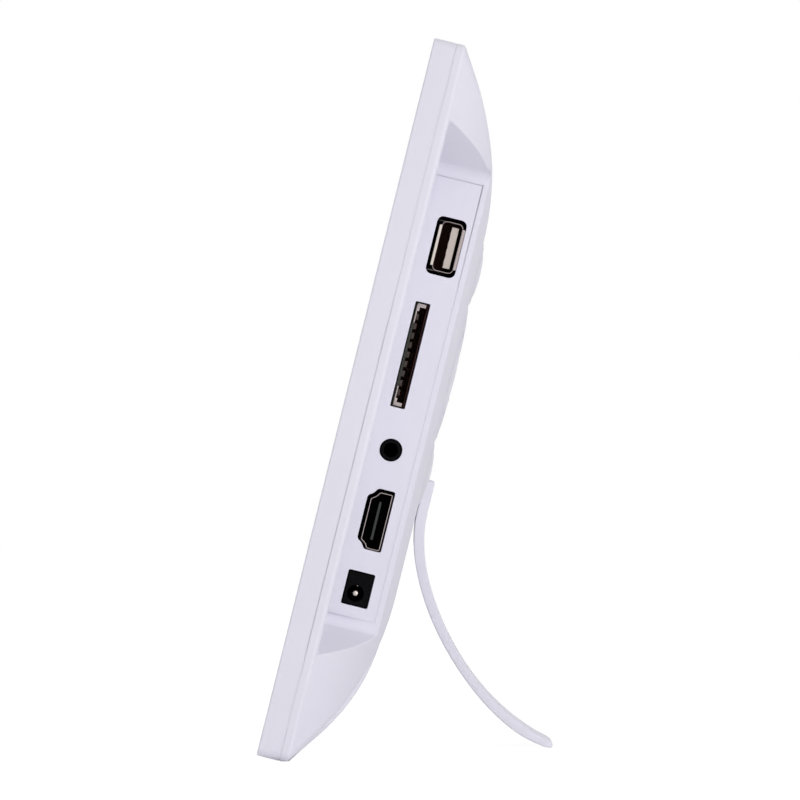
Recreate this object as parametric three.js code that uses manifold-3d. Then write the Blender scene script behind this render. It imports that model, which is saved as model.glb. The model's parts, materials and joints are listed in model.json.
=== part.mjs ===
// Digital photo frame: a 10.1-inch screen in a white casing that leans back on a curved plug-in leg.
//
// Every piece is modelled upright in the casing's own axes, in millimetres: x runs to the viewer's
// right, y from the bezel's face (y = 0) to the back, z up from the lower edge (z = 0). At the end
// the whole is leaned back until the rear cover's lower edge and the leg's foot stand on z = 0.

import * as THREE from "three";
import { mergeVertices } from "three/addons/utils/BufferGeometryUtils.js";
import Module from "manifold-3d";

const wasm = await Module();
wasm.setup();

// ---------------------------------------------------------------- driving sizes, casing

const leanAngle = THREE.MathUtils.degToRad(13.94);
const cornerRadius = 2.5;
const fit = 0.3; // air between neighbouring pieces

const screenWidth = 222.7; // of the picture
const screenHeight = 125.3;
const moduleBorder = [6.15, 8.85]; // of the screen module round the picture, across and up
const casingBorder = [15.5, 18.5]; // of the casing round the screen module
const moduleWidth = screenWidth + 2 * moduleBorder[0];
const moduleHeight = screenHeight + 2 * moduleBorder[1];
const width = moduleWidth + 2 * casingBorder[0]; // 266
const height = moduleHeight + 2 * casingBorder[1]; // 180

const bezelDepth = 5.5;
const bezelWall = 2.0;
const bezelFace = 1.6;

const coverDepth = 23.8; // from the bezel's face to the flat back
const coverWall = 2.0;
const footDepth = 6.2; // where the narrow standing face along the rim begins
const slopeAngle = THREE.MathUtils.degToRad(35); // of the back's edge, against the screen
const crownRadius = 70; // round stretch from the sloping edge to the flat back
const crownInset = 45; // the back is flat further in than this
const crownSteps = 8;

const snapEnd = 53; // from the side to the outer snaps along the upper and lower rims
const snapSpan = width / 2 - snapEnd;
const snapCorner = 11; // from the corner to the nearest snap on either side
const snapLength = 10;
const snapInset = 4.3; // of the bezel's tongues
const snapTongue = 1.2;
const snapNub = 0.8;
const snapTip = 7.0; // how deep behind the bezel's face the tongues reach
const snapCatch = 0.5; // thickness of the cover's catches

// ---------------------------------------------------------------- driving sizes, port bay

const bayInset = 28; // how far in from the side the port wall stands
const bayTop = 28.9; // upper end of the port wall, below the top edge
const bayMargin = [12.25, 5.2]; // of the port wall above the first socket and below the last
const cheekSpread = [10.3, 7.7]; // how much wider the bay is at the rim, above and below
const bayFloor = 8.5; // depth of the ledge in front of the ports
const bayFloorWall = 1.6;
const browDepth = 20.0; // where the bevel between the port wall and the back begins
const browWidth = 1.7;
const browSlope = 1.6;
const bayFillet = 2.5;
const panelRecess = 0.2; // shallow panel in the port wall, round all the ports
const panelMargin = [2.7, 2.1]; // of the port wall above and below it
const panelFront = 8.7;
const panelBack = 19.8;

// ---------------------------------------------------------------- driving sizes, screen

const windowMargin = 0.4;
const moduleDepth = 4.7;
const panWall = 0.6;
const cellThickness = 1.4;
const lightStripHeight = 2.4;
const lightStripEnd = 5; // of the screen module's inside, free beyond either end of the strip
const ribThickness = 1.2;
const ribShare = 0.7; // of the module's depth that the rib holds
const bracketHeight = 12;
const bracketLap = 3.5; // of the bracket over the screen module
const bracketThickness = 0.6;
const bracketEnd = 10; // of a bracket beyond its screws
const bracketScrewInset = 32.5; // of its screws from the screen module's side
const bracketScrewSpan = moduleWidth - 2 * bracketScrewInset;
const bracketLength = bracketScrewSpan + 2 * bracketEnd;

// ---------------------------------------------------------------- driving sizes, ports

// The sockets stand in a row down the port wall. Sizes are [along the depth, up the casing].
const mouthRecess = 0.5; // the sockets' mouths lie this far inside the port wall's face
const shellSheet = 0.3;
const dataSize = { hole: [7.4, 14.5], shell: [5.7, 13.1], length: 14, tongue: [1.84, 11.1] };
const cardSize = { hole: [3.7, 26.6], carrier: 27.4, card: 24.6, gap: 2.2, length: 27 };
const audioSize = { hole: [5.6, 5.6], nose: 2.5, bore: 1.8, body: [5.1, 6.6], length: 12 };
const videoSize = { hole: [6.6, 15.3], shell: [5.6, 14.4], length: 11.5, tongue: [1.0, 11.2] };
const powerSize = { hole: [6.7, 8.6], body: [6.1, 8.0], length: 13, bore: 2.05, pin: 0.75 };
const powerBoreDrop = 1.2; // the round opening's centre lies below the body's centre
const cornerCut = 2.0; // of the video socket, on its narrow side
const socketGaps = [7.35, 7.7, 7.05, 5.65]; // between the openings, from the top down

// Each opening's centre, below the top edge: the openings follow each other down the wall.
const openings = [dataSize, cardSize, audioSize, videoSize, powerSize].map(({ hole }) => hole[1]);
const socketDrops = openings.reduce((drops, tall, i) => {
  const before = i === 0
    ? bayTop + bayMargin[0]
    : drops[i - 1] + openings[i - 1] / 2 + socketGaps[i - 1];
  return [...drops, before + tall / 2];
}, []);
const dataPlace = { depth: 15.1, drop: socketDrops[0] };
const cardPlace = { depth: 12.9, drop: socketDrops[1] };
const audioPlace = { depth: 13.9, drop: socketDrops[2] };
const videoPlace = { depth: 14.3, drop: socketDrops[3] };
const powerPlace = { depth: 14.3, drop: socketDrops[4] };

const bayBottom = powerPlace.drop + powerSize.hole[1] / 2 + bayMargin[1];
const bayMouthTop = bayTop - cheekSpread[0]; // where the cheeks reach the rim
const bayMouthBottom = bayBottom + cheekSpread[1];

// ---------------------------------------------------------------- driving sizes, boards

const boardFront = 9.4;
const boardThickness = 1.6;
const boardWidth = 60.4;
const boardMargin = [4.1, 1.7]; // of the port wall beyond the board, above and below
const keyBoardFront = 15.0;
const keyBoardThickness = 1.0;
const keyBoardWidth = 28;
const keyBoardMargin = 10.5; // beyond the outer keys' centres
const bossRadius = 2.5;
const bossFromWall = 6; // of the two near posts, from the port wall's inner face
const bossFromEdge = [5.7, 3]; // of the two far posts, from the board's far edge and its ends
const screwRadius = 1.0;
const screwHeadRadius = 2.0;
const screwHeadHeight = 1.5;
const screwLength = 5;
const screwSlotWidth = 0.5;
const screwSlotShare = 0.6; // of the head's radius

// ---------------------------------------------------------------- driving sizes, keys

const keysInset = 61; // from the side
const keysDrop = 78.3; // centre of the round pad, below the top edge
const keySpacing = 25.4; // from the pad to the round key above and below it
const keyHoleClearance = 0.3;
const roundKeyRadius = 6.0;
const roundKeyRise = 0.85; // above the back
const padRadius = 15.35;
const padRise = 1.1;
const padRib = 1.2; // of the cover, between neighbouring pad keys
const okKeyRadius = 5.5;
const keyLip = 0.4; // hidden lip that keeps a key in its hole
const keyLipThickness = 0.9;
const keyScrewRise = 18.8; // of the key board's screws from the pad's centre
const keyTravel = 0.5;
const switchSize = 6;
const switchHeight = 2.8;
const plungerRadius = 1.75;
const plungerRise = 0.9; // above the switch
const arrowSwitchRadius = 11; // of the pad's four outer switches round its centre

// ---------------------------------------------------------------- driving sizes, speakers

const speakerSide = 40; // from the middle
const speakerRise = 19; // of its centre above the main board's lower edge
const speakerRadius = 14;
const speakerDepth = 4.6;
const grilleSlots = 6;
const grillePitch = 3.2;
const grilleSlotWidth = 1.5;
const grilleRadius = 10;
const leadRadius = 0.6;
const leadDrop = 8; // of the long lead's level run, below the speakers' centres

// ---------------------------------------------------------------- driving sizes, leg

const legThickness = 2.68;
const legWidth = 44;
const legTop = 74.1; // height of its upper end
const legBend = 66; // height where it begins to leave the back
const legFootDepth = 70.5; // behind the bezel's face
const legFootCut = 0.2; // taken off under the foot, so that it stands flat
const legFootAngle = THREE.MathUtils.degToRad(8.4); // below the level, at the foot
const legUpperPull = 19.8; // how long the curve keeps its direction at either end
const legLowerPull = 20.4;
const legSteps = 26;
const hookSpacing = 22;
const hookNeck = 4;
const hookHead = 8;
const hookHeight = 4;
const hookDrop = 2.5; // from the leg's upper end to the hooks
const hookThickness = 1.6;
const legTravel = 10; // down, until the hooks reach their wide openings

// ---------------------------------------------------------------- materials

function finish(color, roughness, metalness = 0) {
  return new THREE.MeshStandardMaterial({ color, roughness, metalness });
}

const whitePlastic = finish(0xdedce8, 0.35);
const blackPlastic = finish(0x141416, 0.45);
const screenGlass = finish(0x07080a, 0.06);
const acrylic = finish(0xe8ecee, 0.15);
const steel = finish(0xb9bcc0, 0.35, 1);
const circuitBoard = finish(0x1d4a2c, 0.5);
const tongueResin = finish(0xcdc4ba, 0.5);
const stripBoard = finish(0xdedbd0, 0.5);
const ribbonFilm = finish(0xc9a15a, 0.4);
const speakerCone = finish(0x2a2a2c, 0.7);

// ---------------------------------------------------------------- solids

function toSolid(geometry) {
  geometry.deleteAttribute("normal");
  geometry.deleteAttribute("uv");
  const closed = mergeVertices(geometry, 1e-5);
  const vertProperties = Float32Array.from(closed.attributes.position.array);
  const triVerts = Uint32Array.from(closed.index.array);
  return new wasm.Manifold(new wasm.Mesh({ numProp: 3, vertProperties, triVerts }));
}

function toGeometry(solid) {
  const mesh = solid.getMesh();
  const geometry = new THREE.BufferGeometry();
  geometry.setAttribute("position", new THREE.BufferAttribute(mesh.vertProperties, 3));
  geometry.setIndex(new THREE.BufferAttribute(mesh.triVerts, 1));
  geometry.computeVertexNormals();
  return geometry;
}

// An outline drawn across the given axis, as [y, z], [x, z] or [x, y] points, made solid along it.
function prism(axis, outline, from, to) {
  const shape = new THREE.Shape(outline.map(([u, v]) => new THREE.Vector2(u, v)));
  const geometry = new THREE.ExtrudeGeometry(shape, { depth: to - from, bevelEnabled: false });
  const [x, y, z] = [[1, 0, 0], [0, 1, 0], [0, 0, 1]].map((v) => new THREE.Vector3(...v));
  const place = new THREE.Matrix4();
  if (axis === "x") place.makeBasis(y, z, x).setPosition(from, 0, 0);
  if (axis === "y") place.makeBasis(x, z, y.negate()).setPosition(0, to, 0);
  if (axis === "z") place.makeBasis(x, y, z).setPosition(0, 0, from);
  return toSolid(geometry.applyMatrix4(place));
}

function block(x0, x1, y0, y1, z0, z1) {
  const geometry = new THREE.BoxGeometry(x1 - x0, y1 - y0, z1 - z0);
  return toSolid(geometry.translate((x0 + x1) / 2, (y0 + y1) / 2, (z0 + z1) / 2));
}

// A round rod along y.
function rod(radius, y0, y1, x, z, sides = 16) {
  const geometry = new THREE.CylinderGeometry(radius, radius, y1 - y0, sides);
  return toSolid(geometry.translate(x, (y0 + y1) / 2, z));
}

// A round rod along x.
function crossRod(radius, x0, x1, y, z, sides = 20) {
  const geometry = new THREE.CylinderGeometry(radius, radius, x1 - x0, sides);
  return toSolid(geometry.rotateZ(-Math.PI / 2).translate((x0 + x1) / 2, y, z));
}

function joined(solids) {
  return solids.reduce((whole, part) => whole.add(part));
}

function cut(solid, ...tools) {
  return tools.flat().reduce((rest, tool) => rest.subtract(tool), solid);
}

function rectangle(u0, u1, v0, v1) {
  return [[u0, v0], [u1, v0], [u1, v1], [u0, v1]];
}

// The same outline with each corner rounded off.
function rounded(corners, radius, steps = 3) {
  const points = corners.map(([u, v]) => new THREE.Vector2(u, v));
  return points.flatMap((corner, i) => {
    const before = points.at(i - 1).clone().sub(corner).setLength(radius).add(corner);
    const after = points[(i + 1) % points.length].clone().sub(corner).setLength(radius).add(corner);
    const turn = new THREE.QuadraticBezierCurve(before, corner, after);
    return turn.getPoints(steps).map((point) => [point.x, point.y]);
  });
}

// ---------------------------------------------------------------- the tree

const casing = new THREE.Group();

function addPiece(name, solid, material) {
  const mesh = new THREE.Mesh(toGeometry(solid), material);
  mesh.name = name;
  casing.add(mesh);
}

const fromTop = (drop) => height - drop;
const fromSide = (inset) => width / 2 - inset;

// ---------------------------------------------------------------- front bezel and screen

const seatDepth = bezelFace + fit; // front of the screen module
const moduleBack = seatDepth + moduleDepth;
const middle = height / 2;
const bracketMiddle = middle - moduleHeight / 2 + bracketLap - bracketHeight / 2;
const bracketFront = moduleBack + fit;

// The four places where the brackets are screwed to the bezel.
const bracketScrews = [-1, 1].flatMap((side) => [bracketMiddle, height - bracketMiddle].map(
  (z) => [side * bracketScrewSpan / 2, z],
));

// Places of the snap hooks round the rim, as [x, z, direction outwards].
const snaps = [-1, 0, 1].flatMap((step) => [
  [step * snapSpan, 0, "down"],
  [step * snapSpan, height, "up"],
]).concat([["left", -1], ["right", 1]].flatMap(([direction, side]) => [-1, 1].map(
  (step) => [side * width / 2, middle + step * (middle - snapCorner), direction],
)));

// A block beside a snap: `inner` and `outer` are insets from the rim.
function snapBlock([x, z, direction], outer, inner, y0, y1) {
  const half = snapLength / 2;
  if (direction === "down") return block(x - half, x + half, y0, y1, outer, inner);
  if (direction === "up") return block(x - half, x + half, y0, y1, z - inner, z - outer);
  if (direction === "left") return block(x + outer, x + inner, y0, y1, z - half, z + half);
  return block(x - inner, x - outer, y0, y1, z - half, z + half);
}

function frameBlock(halfWidth, halfHeight, y0, y1) {
  return block(-halfWidth, halfWidth, y0, y1, middle - halfHeight, middle + halfHeight);
}

function rimOutline(inset) {
  const radius = Math.max(cornerRadius - inset, 0.5);
  return rounded(rectangle(-width / 2 + inset, width / 2 - inset, inset, height - inset), radius, 4);
}

function makeBezel() {
  const slab = prism("y", rimOutline(0), 0, bezelDepth);
  const hollow = prism("y", rimOutline(bezelWall), bezelFace, bezelDepth + 1);
  const windowCut = frameBlock(
    screenWidth / 2 + windowMargin, screenHeight / 2 + windowMargin, -1, bezelFace + 1,
  );
  const ribInside = [moduleWidth / 2 + fit, moduleHeight / 2 + fit];
  const ribOutside = ribInside.map((half) => half + ribThickness);
  const ribDepth = bezelFace + moduleDepth * ribShare;
  const rib = cut(
    frameBlock(...ribOutside, bezelFace / 2, ribDepth),
    frameBlock(...ribInside, bezelFace / 4, ribDepth + 1),
  );
  const bosses = bracketScrews.map(([x, z]) => rod(bossRadius, bezelFace / 2, moduleBack, x, z));
  const bores = bracketScrews.map(([x, z]) => rod(screwRadius + fit, bezelFace, moduleBack + 1, x, z));
  const tongues = snaps.flatMap((snap) => [
    snapBlock(snap, snapInset, snapInset + snapTongue, bezelFace / 2, snapTip),
    snapBlock(snap, snapInset - snapNub, snapInset + 0.1, snapTip - snapCatch, snapTip),
  ]);
  const shell = cut(slab, hollow);
  return cut(joined([shell, rib, ...bosses, ...tongues]), windowCut, bores);
}

addPiece("front_bezel", makeBezel(), whitePlastic);

function addScreen() {
  const [w, h] = [moduleWidth / 2, moduleHeight / 2];
  const inside = [w - panWall, h - panWall];
  const pan = cut(
    frameBlock(w, h, seatDepth, moduleBack),
    frameBlock(...inside, seatDepth - 1, moduleBack - panWall),
  );
  addPiece("screen_pan", pan, steel);

  const loose = inside.map((half) => half - fit);
  addPiece("screen_cell", frameBlock(...loose, seatDepth, seatDepth + cellThickness), screenGlass);

  const guideFront = seatDepth + cellThickness + fit;
  const guideBack = moduleBack - panWall - fit;
  const low = middle - loose[1];
  const stripTop = low + lightStripHeight;
  const guide = block(-loose[0], loose[0], guideFront, guideBack, stripTop + fit, low + 2 * loose[1]);
  addPiece("light_guide", guide, acrylic);
  const stripHalf = loose[0] - lightStripEnd;
  const strip = block(-stripHalf, stripHalf, guideFront, guideBack, low, stripTop);
  addPiece("light_strip", strip, stripBoard);
}

addScreen();

// ---------------------------------------------------------------- screws

// A pan-head screw along y. `direction` is 1 where its point looks to the back, -1 to the front.
function addScrew(name, x, z, seat, direction) {
  const along = (a, b) => [seat + direction * a, seat + direction * b].sort((p, q) => p - q);
  const head = rod(screwHeadRadius, ...along(-fit - screwHeadHeight, -fit), x, z);
  const shank = rod(screwRadius, ...along(-fit - 0.1, screwLength), x, z, 12);
  const [slotFrom, slotTo] = along(-fit - screwHeadHeight - 1, -fit - screwHeadHeight / 2);
  const [long, short] = [screwHeadRadius * screwSlotShare, screwSlotWidth / 2];
  const slots = [
    block(x - long, x + long, slotFrom, slotTo, z - short, z + short),
    block(x - short, x + short, slotFrom, slotTo, z - long, z + long),
  ];
  addPiece(name, cut(head.add(shank), slots), steel);
}

function addBrackets() {
  const names = ["lower", "upper"];
  [bracketMiddle, height - bracketMiddle].forEach((z, i) => {
    const strip = block(
      -bracketLength / 2, bracketLength / 2,
      bracketFront, bracketFront + bracketThickness,
      z - bracketHeight / 2, z + bracketHeight / 2,
    );
    const holes = bracketScrews.filter(([, zHole]) => zHole === z).map(
      ([x]) => rod(screwRadius + fit, bracketFront - 1, bracketFront + bracketThickness + 1, x, z),
    );
    addPiece(`${names[i]}_bracket`, cut(strip, holes), steel);
  });
  const bracketBack = bracketFront + bracketThickness;
  bracketScrews.forEach(([x, z], i) => addScrew(`bracket_screw_${i + 1}`, x, z, bracketBack, -1));
}

addBrackets();

// ---------------------------------------------------------------- rear cover

const coverFront = bezelDepth + fit;
const crownCentre = coverDepth - crownRadius;

// The table's line, seen from the side in the casing's own axes: its height at a given depth.
const floorHeight = (depth) => (depth - footDepth) * Math.tan(leanAngle);

// The cover's outline across `span`, for a skin this far inside its outer face: a short rim, a
// straight slope, and a round stretch that runs out into the flat back. Points are [across, depth].
function coverOutline(span, skin, front) {
  const radius = crownRadius - skin;
  const tangent = [
    crownInset - radius * Math.sin(slopeAngle),
    crownCentre + radius * Math.cos(slopeAngle),
  ];
  const slopeDepth = (inset) => tangent[1] + (inset - tangent[0]) * Math.tan(slopeAngle);
  const side = [[skin, front]];
  if (skin === 0) {
    const facet = (slopeDepth(0) - footDepth) / (1 / Math.tan(leanAngle) - Math.tan(slopeAngle));
    side.push([0, footDepth], [facet, slopeDepth(facet)]);
  } else {
    side.push([skin, slopeDepth(skin)]);
  }
  for (let step = 0; step <= crownSteps; step += 1) {
    const angle = slopeAngle * (1 - step / crownSteps);
    side.push([crownInset - radius * Math.sin(angle), crownCentre + radius * Math.cos(angle)]);
  }
  const left = side.map(([inset, depth]) => [inset - span / 2, depth]);
  return left.concat(left.map(([across, depth]) => [-across, depth]).reverse());
}

function coverBody(skin, front) {
  const upright = coverOutline(height, skin, front).map(([across, depth]) => [depth, across + middle]);
  const level = coverOutline(width, skin, front);
  return prism("x", upright, -width / 2, width / 2)
    .intersect(prism("z", level, 0, height))
    .intersect(prism("y", rimOutline(skin), front - 1, coverDepth + 1));
}

const portWall = fromSide(bayInset);
const portWallInside = portWall - coverWall;

// The bay's plan, seen from behind: the port wall with a cheek slanting out from each end.
// `skin` moves its sides out into the casing.
function bayOutline(skin) {
  const beyond = 6;
  const reach = (bayInset + beyond) / bayInset;
  const low = [fromTop(bayBottom) - skin, fromTop(bayMouthBottom) - skin];
  const high = [fromTop(bayTop) + skin, fromTop(bayMouthTop) + skin];
  const wall = portWall - skin;
  const open = width / 2 + beyond;
  const far = ([near, mouth]) => near + (mouth - near) * reach;
  return [[wall, low[0]], [open, far(low)], [open, far(high)], [wall, high[0]]];
}

// The bay itself: its corners at the port wall are rounded.
function bayHollow() {
  const [lowWall, lowMouth, highMouth, highWall] = bayOutline(0);
  const corners = rounded([lowWall, lowMouth, highMouth, highWall], bayFillet);
  return prism("y", corners, bayFloor, coverDepth + 2);
}

// The bevel along the port wall's rear edge.
function bayBrowCut() {
  const back = browDepth + browSlope * browWidth;
  const outline = [
    [portWall - browWidth, back], [portWall + 1, browDepth - browSlope], [portWall + 1, back],
  ];
  return prism("z", outline, fromTop(bayBottom) + 1, fromTop(bayTop) - 1);
}

function panelCut() {
  const low = fromTop(bayBottom) + panelMargin[1];
  const high = fromTop(bayTop) - panelMargin[0];
  return block(portWall - panelRecess, portWall + 1, panelFront, panelBack, low, high);
}

// An opening through the port wall: its size along the depth and up the casing.
function portCut({ depth, drop }, [deep, tall], radius) {
  const z = fromTop(drop);
  const corners = rounded(
    rectangle(depth - deep / 2, depth + deep / 2, z - tall / 2, z + tall / 2), radius,
  );
  return prism("x", corners, portWallInside - 1, portWall + 1);
}

// The video socket's outline, with its narrow side towards the screen.
function videoOutline([deep, tall], corner) {
  const z = fromTop(videoPlace.drop);
  const [front, back] = [videoPlace.depth - deep / 2, videoPlace.depth + deep / 2];
  return [
    [back, z - tall / 2], [back, z + tall / 2],
    [front + corner * 1.3, z + tall / 2], [front, z + tall / 2 - corner],
    [front, z - tall / 2 + corner], [front + corner * 1.3, z - tall / 2],
  ];
}

function portCuts() {
  const [inside, outside] = [portWallInside - 1, portWall + 1];
  return [
    portCut(dataPlace, dataSize.hole, 1.2),
    portCut(cardPlace, cardSize.hole, 0.4),
    crossRod(audioSize.hole[0] / 2, inside, outside, audioPlace.depth, fromTop(audioPlace.drop)),
    prism("x", videoOutline(videoSize.hole, cornerCut), inside, outside),
    portCut(powerPlace, powerSize.hole, 0.4),
  ];
}

// ---------------------------------------------------------------- keys: places and outlines

const keysX = fromSide(keysInset);
const keysZ = fromTop(keysDrop);
const arrowInnerRadius = okKeyRadius + 2 * keyHoleClearance + padRib;

function circleOutline(x, z, radius, sides = 24) {
  return Array.from({ length: sides }, (_, i) => {
    const angle = (2 * Math.PI * i) / sides;
    return [x + radius * Math.cos(angle), z + radius * Math.sin(angle)];
  });
}

// A quarter of the pad's ring. Its straight edges keep `gap` from the cross between the quarters.
function arrowOutline(quarter, inner, outer, gap) {
  const arc = (radius, steps) => {
    const half = Math.PI / 4 - Math.asin(gap / radius);
    return Array.from({ length: steps + 1 }, (_, i) => {
      const angle = quarter * Math.PI / 2 - half + (2 * half * i) / steps;
      return [keysX + radius * Math.cos(angle), keysZ + radius * Math.sin(angle)];
    });
  };
  return arc(outer, 8).concat(arc(inner, 4).reverse());
}

// Every key: its switch's place, and its outline grown by any amount.
const keys = [
  ...["menu_key", "exit_key"].map((name, i) => {
    const z = keysZ + (i === 0 ? keySpacing : -keySpacing);
    return {
      name, x: keysX, z, rise: roundKeyRise,
      outline: (grow) => circleOutline(keysX, z, roundKeyRadius + grow),
    };
  }),
  {
    name: "ok_key", x: keysX, z: keysZ, rise: padRise,
    outline: (grow) => circleOutline(keysX, keysZ, okKeyRadius + grow),
  },
  ...["right_key", "up_key", "left_key", "down_key"].map((name, quarter) => ({
    name,
    x: keysX + arrowSwitchRadius * Math.cos(quarter * Math.PI / 2),
    z: keysZ + arrowSwitchRadius * Math.sin(quarter * Math.PI / 2),
    rise: padRise,
    outline: (grow) => arrowOutline(
      quarter, arrowInnerRadius - grow, padRadius + grow, padRib / 2 + keyHoleClearance - grow,
    ),
  })),
];

const keyBoardBack = keyBoardFront + keyBoardThickness;
const switchTop = keyBoardBack + fit + switchHeight;
const plungerTop = switchTop + plungerRise;
const coverCeiling = coverDepth - coverWall;
const keyBoardLow = keysZ - keySpacing - keyBoardMargin;
const keyBoardHigh = keysZ + keySpacing + keyBoardMargin;

// The key board's screws sit diagonally between the pad and the two round keys.
const keyBoardScrews = [-1, 1].map((side) => [
  keysX + side * (keyBoardWidth / 2 - bossRadius),
  keysZ + side * keyScrewRise,
]);

const boardBack = boardFront + boardThickness;
const boardRight = portWallInside - fit;
const boardLeft = boardRight - boardWidth;
const boardLow = fromTop(bayBottom) + boardMargin[1];
const boardHigh = fromTop(bayTop) - boardMargin[0];
const speakerHeight = boardLow + speakerRise;

// The near posts stand between sockets: halfway from one body's end to the next one's.
function betweenSockets(upper, upperTall, lower, lowerTall) {
  return fromTop((upper.drop + upperTall / 2 + lower.drop - lowerTall / 2) / 2);
}

const cardShellTall = cardSize.carrier + 2 * (fit + shellSheet);
const mainBoardScrews = [
  betweenSockets(dataPlace, dataSize.shell[1], cardPlace, cardShellTall),
  betweenSockets(audioPlace, audioSize.body[1], videoPlace, videoSize.shell[1]),
].map((z) => [portWallInside - bossFromWall, z]).concat(
  [boardHigh - bossFromEdge[1], boardLow + bossFromEdge[1]].map((z) => [boardLeft + bossFromEdge[0], z]),
);

// ---------------------------------------------------------------- rear cover, put together

// A screw post that hangs from the cover's ceiling down to a board's rear face.
function post([x, z], end) {
  return rod(bossRadius, end + fit, coverCeiling + coverWall / 4, x, z);
}

function postBore([x, z], end) {
  return rod(screwRadius + fit, end, end + screwLength, x, z, 12);
}

// Rows of slots in front of a speaker, shorter towards the edge of their round field.
function grilleCuts(side) {
  const z = speakerHeight;
  return Array.from({ length: grilleSlots }, (_, i) => {
    const rise = (i - (grilleSlots - 1) / 2) * grillePitch;
    const half = Math.sqrt(grilleRadius ** 2 - rise ** 2);
    const x = side * speakerSide;
    const slot = rounded(
      rectangle(x - half, x + half, z + rise - grilleSlotWidth / 2, z + rise + grilleSlotWidth / 2),
      grilleSlotWidth / 2 - 0.01,
      2,
    );
    return prism("y", slot, coverCeiling - 1, coverDepth + 1);
  });
}

// The leg's two keyhole slots: a narrow channel that the hook slides up, above its wide opening.
const hookTop = legTop - hookDrop;
const hookLow = hookTop - hookHeight;
const hookSides = [-1, 1].map((side) => side * hookSpacing / 2);

function hookCuts() {
  const throat = hookNeck / 2 + fit;
  const mouth = hookHead / 2 + fit;
  return hookSides.flatMap((x) => [
    block(x - throat, x + throat, coverCeiling - 1, coverDepth + 1, hookLow - legTravel, hookTop + fit),
    block(
      x - mouth, x + mouth, coverCeiling - 1, coverDepth + 1,
      hookLow - legTravel - fit, hookTop - legTravel + fit,
    ),
  ]);
}

function makeCover() {
  const hollow = coverBody(coverWall, coverFront - 1).subtract(
    prism("y", bayOutline(coverWall), bayFloor - bayFloorWall, coverDepth + 2),
  );
  const catches = snaps.map((snap) => snapBlock(
    snap, coverWall / 2, snapInset - fit, coverFront, coverFront + snapCatch,
  ));
  const posts = [
    ...mainBoardScrews.map((place) => post(place, boardBack)),
    ...keyBoardScrews.map((place) => post(place, keyBoardBack)),
  ];
  const bores = [
    ...mainBoardScrews.map((place) => postBore(place, boardBack)),
    ...keyBoardScrews.map((place) => postBore(place, keyBoardBack)),
  ];
  const keyHoles = keys.map(({ outline }) => prism(
    "y", outline(keyHoleClearance), coverCeiling - 1, coverDepth + 1,
  ));
  const shell = cut(coverBody(0, coverFront), hollow);
  const solid = cut(shell, bayHollow(), bayBrowCut(), panelCut());
  return cut(
    joined([solid, ...catches, ...posts]),
    bores, keyHoles, portCuts(), hookCuts(), grilleCuts(-1), grilleCuts(1),
  );
}

addPiece("rear_cover", makeCover(), whitePlastic);

// ---------------------------------------------------------------- main board

const partSeat = boardBack + fit;

// Soldered parts: centre, and size as [across, depth, up].
const mainChipSize = [20, 1.4, 20];
const memoryChipSize = [9, 1.2, 12];
const coilSize = [7, 3.6, 7];
const chipGap = 4;
const chipX = boardRight - cardSize.length - chipGap / 2 - mainChipSize[0] / 2;
const mainChipZ = fromTop(audioPlace.drop) + mainChipSize[2];
const memoryChipZ = mainChipZ - (mainChipSize[2] + memoryChipSize[2]) / 2 - chipGap;
const coilX = boardRight - powerSize.length - chipGap - coilSize[0] / 2;
const chips = [
  { name: "main_chip", x: chipX, z: mainChipZ, size: mainChipSize, material: blackPlastic },
  { name: "memory_chip", x: chipX, z: memoryChipZ, size: memoryChipSize, material: blackPlastic },
  { name: "power_coil", x: coilX, z: fromTop(powerPlace.drop), size: coilSize, material: speakerCone },
];

// Sockets for the screen's ribbon, the keys' ribbon and the speakers' leads.
const screenSocketSize = [23, 2.2, 4];
const keySocketSize = [10, 1.6, 4];
const leadSocketSize = [4, 3, 4];
const ribbonSocket = { x: boardLeft + screenSocketSize[0], z: boardLow + 5, size: screenSocketSize };
const keySocket = { x: keysX, z: keyBoardLow - 4 * keySocketSize[2], size: keySocketSize };
const leadSockets = [-1.5, 1.5].map((step) => ({
  x: boardLeft + bossFromEdge[0],
  z: speakerHeight + step * leadSocketSize[2],
  size: leadSocketSize,
}));

function boardBlock({ x, z, size: [w, d, h] }, front) {
  return block(x - w / 2, x + w / 2, front, front + d, z - h / 2, z + h / 2);
}

function addMainBoard() {
  const sheet = block(boardLeft, boardRight, boardFront, boardBack, boardLow, boardHigh);
  const holes = mainBoardScrews.map(
    ([x, z]) => rod(screwRadius + fit, boardFront - 1, boardBack + 1, x, z),
  );
  const sockets = [ribbonSocket, keySocket, ...leadSockets].map((socket) => {
    const [w, d, h] = socket.size;
    return boardBlock({ ...socket, size: [w, d + 0.1, h] }, boardBack - 0.1);
  });
  addPiece("main_board", cut(joined([sheet, ...sockets]), holes), circuitBoard);
  chips.forEach((chip) => addPiece(chip.name, boardBlock(chip, partSeat), chip.material));
  mainBoardScrews.forEach(([x, z], i) => addScrew(`board_screw_${i + 1}`, x, z, boardFront, 1));
}

addMainBoard();

// ---------------------------------------------------------------- ports

const mouth = portWall - mouthRecess;

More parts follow.
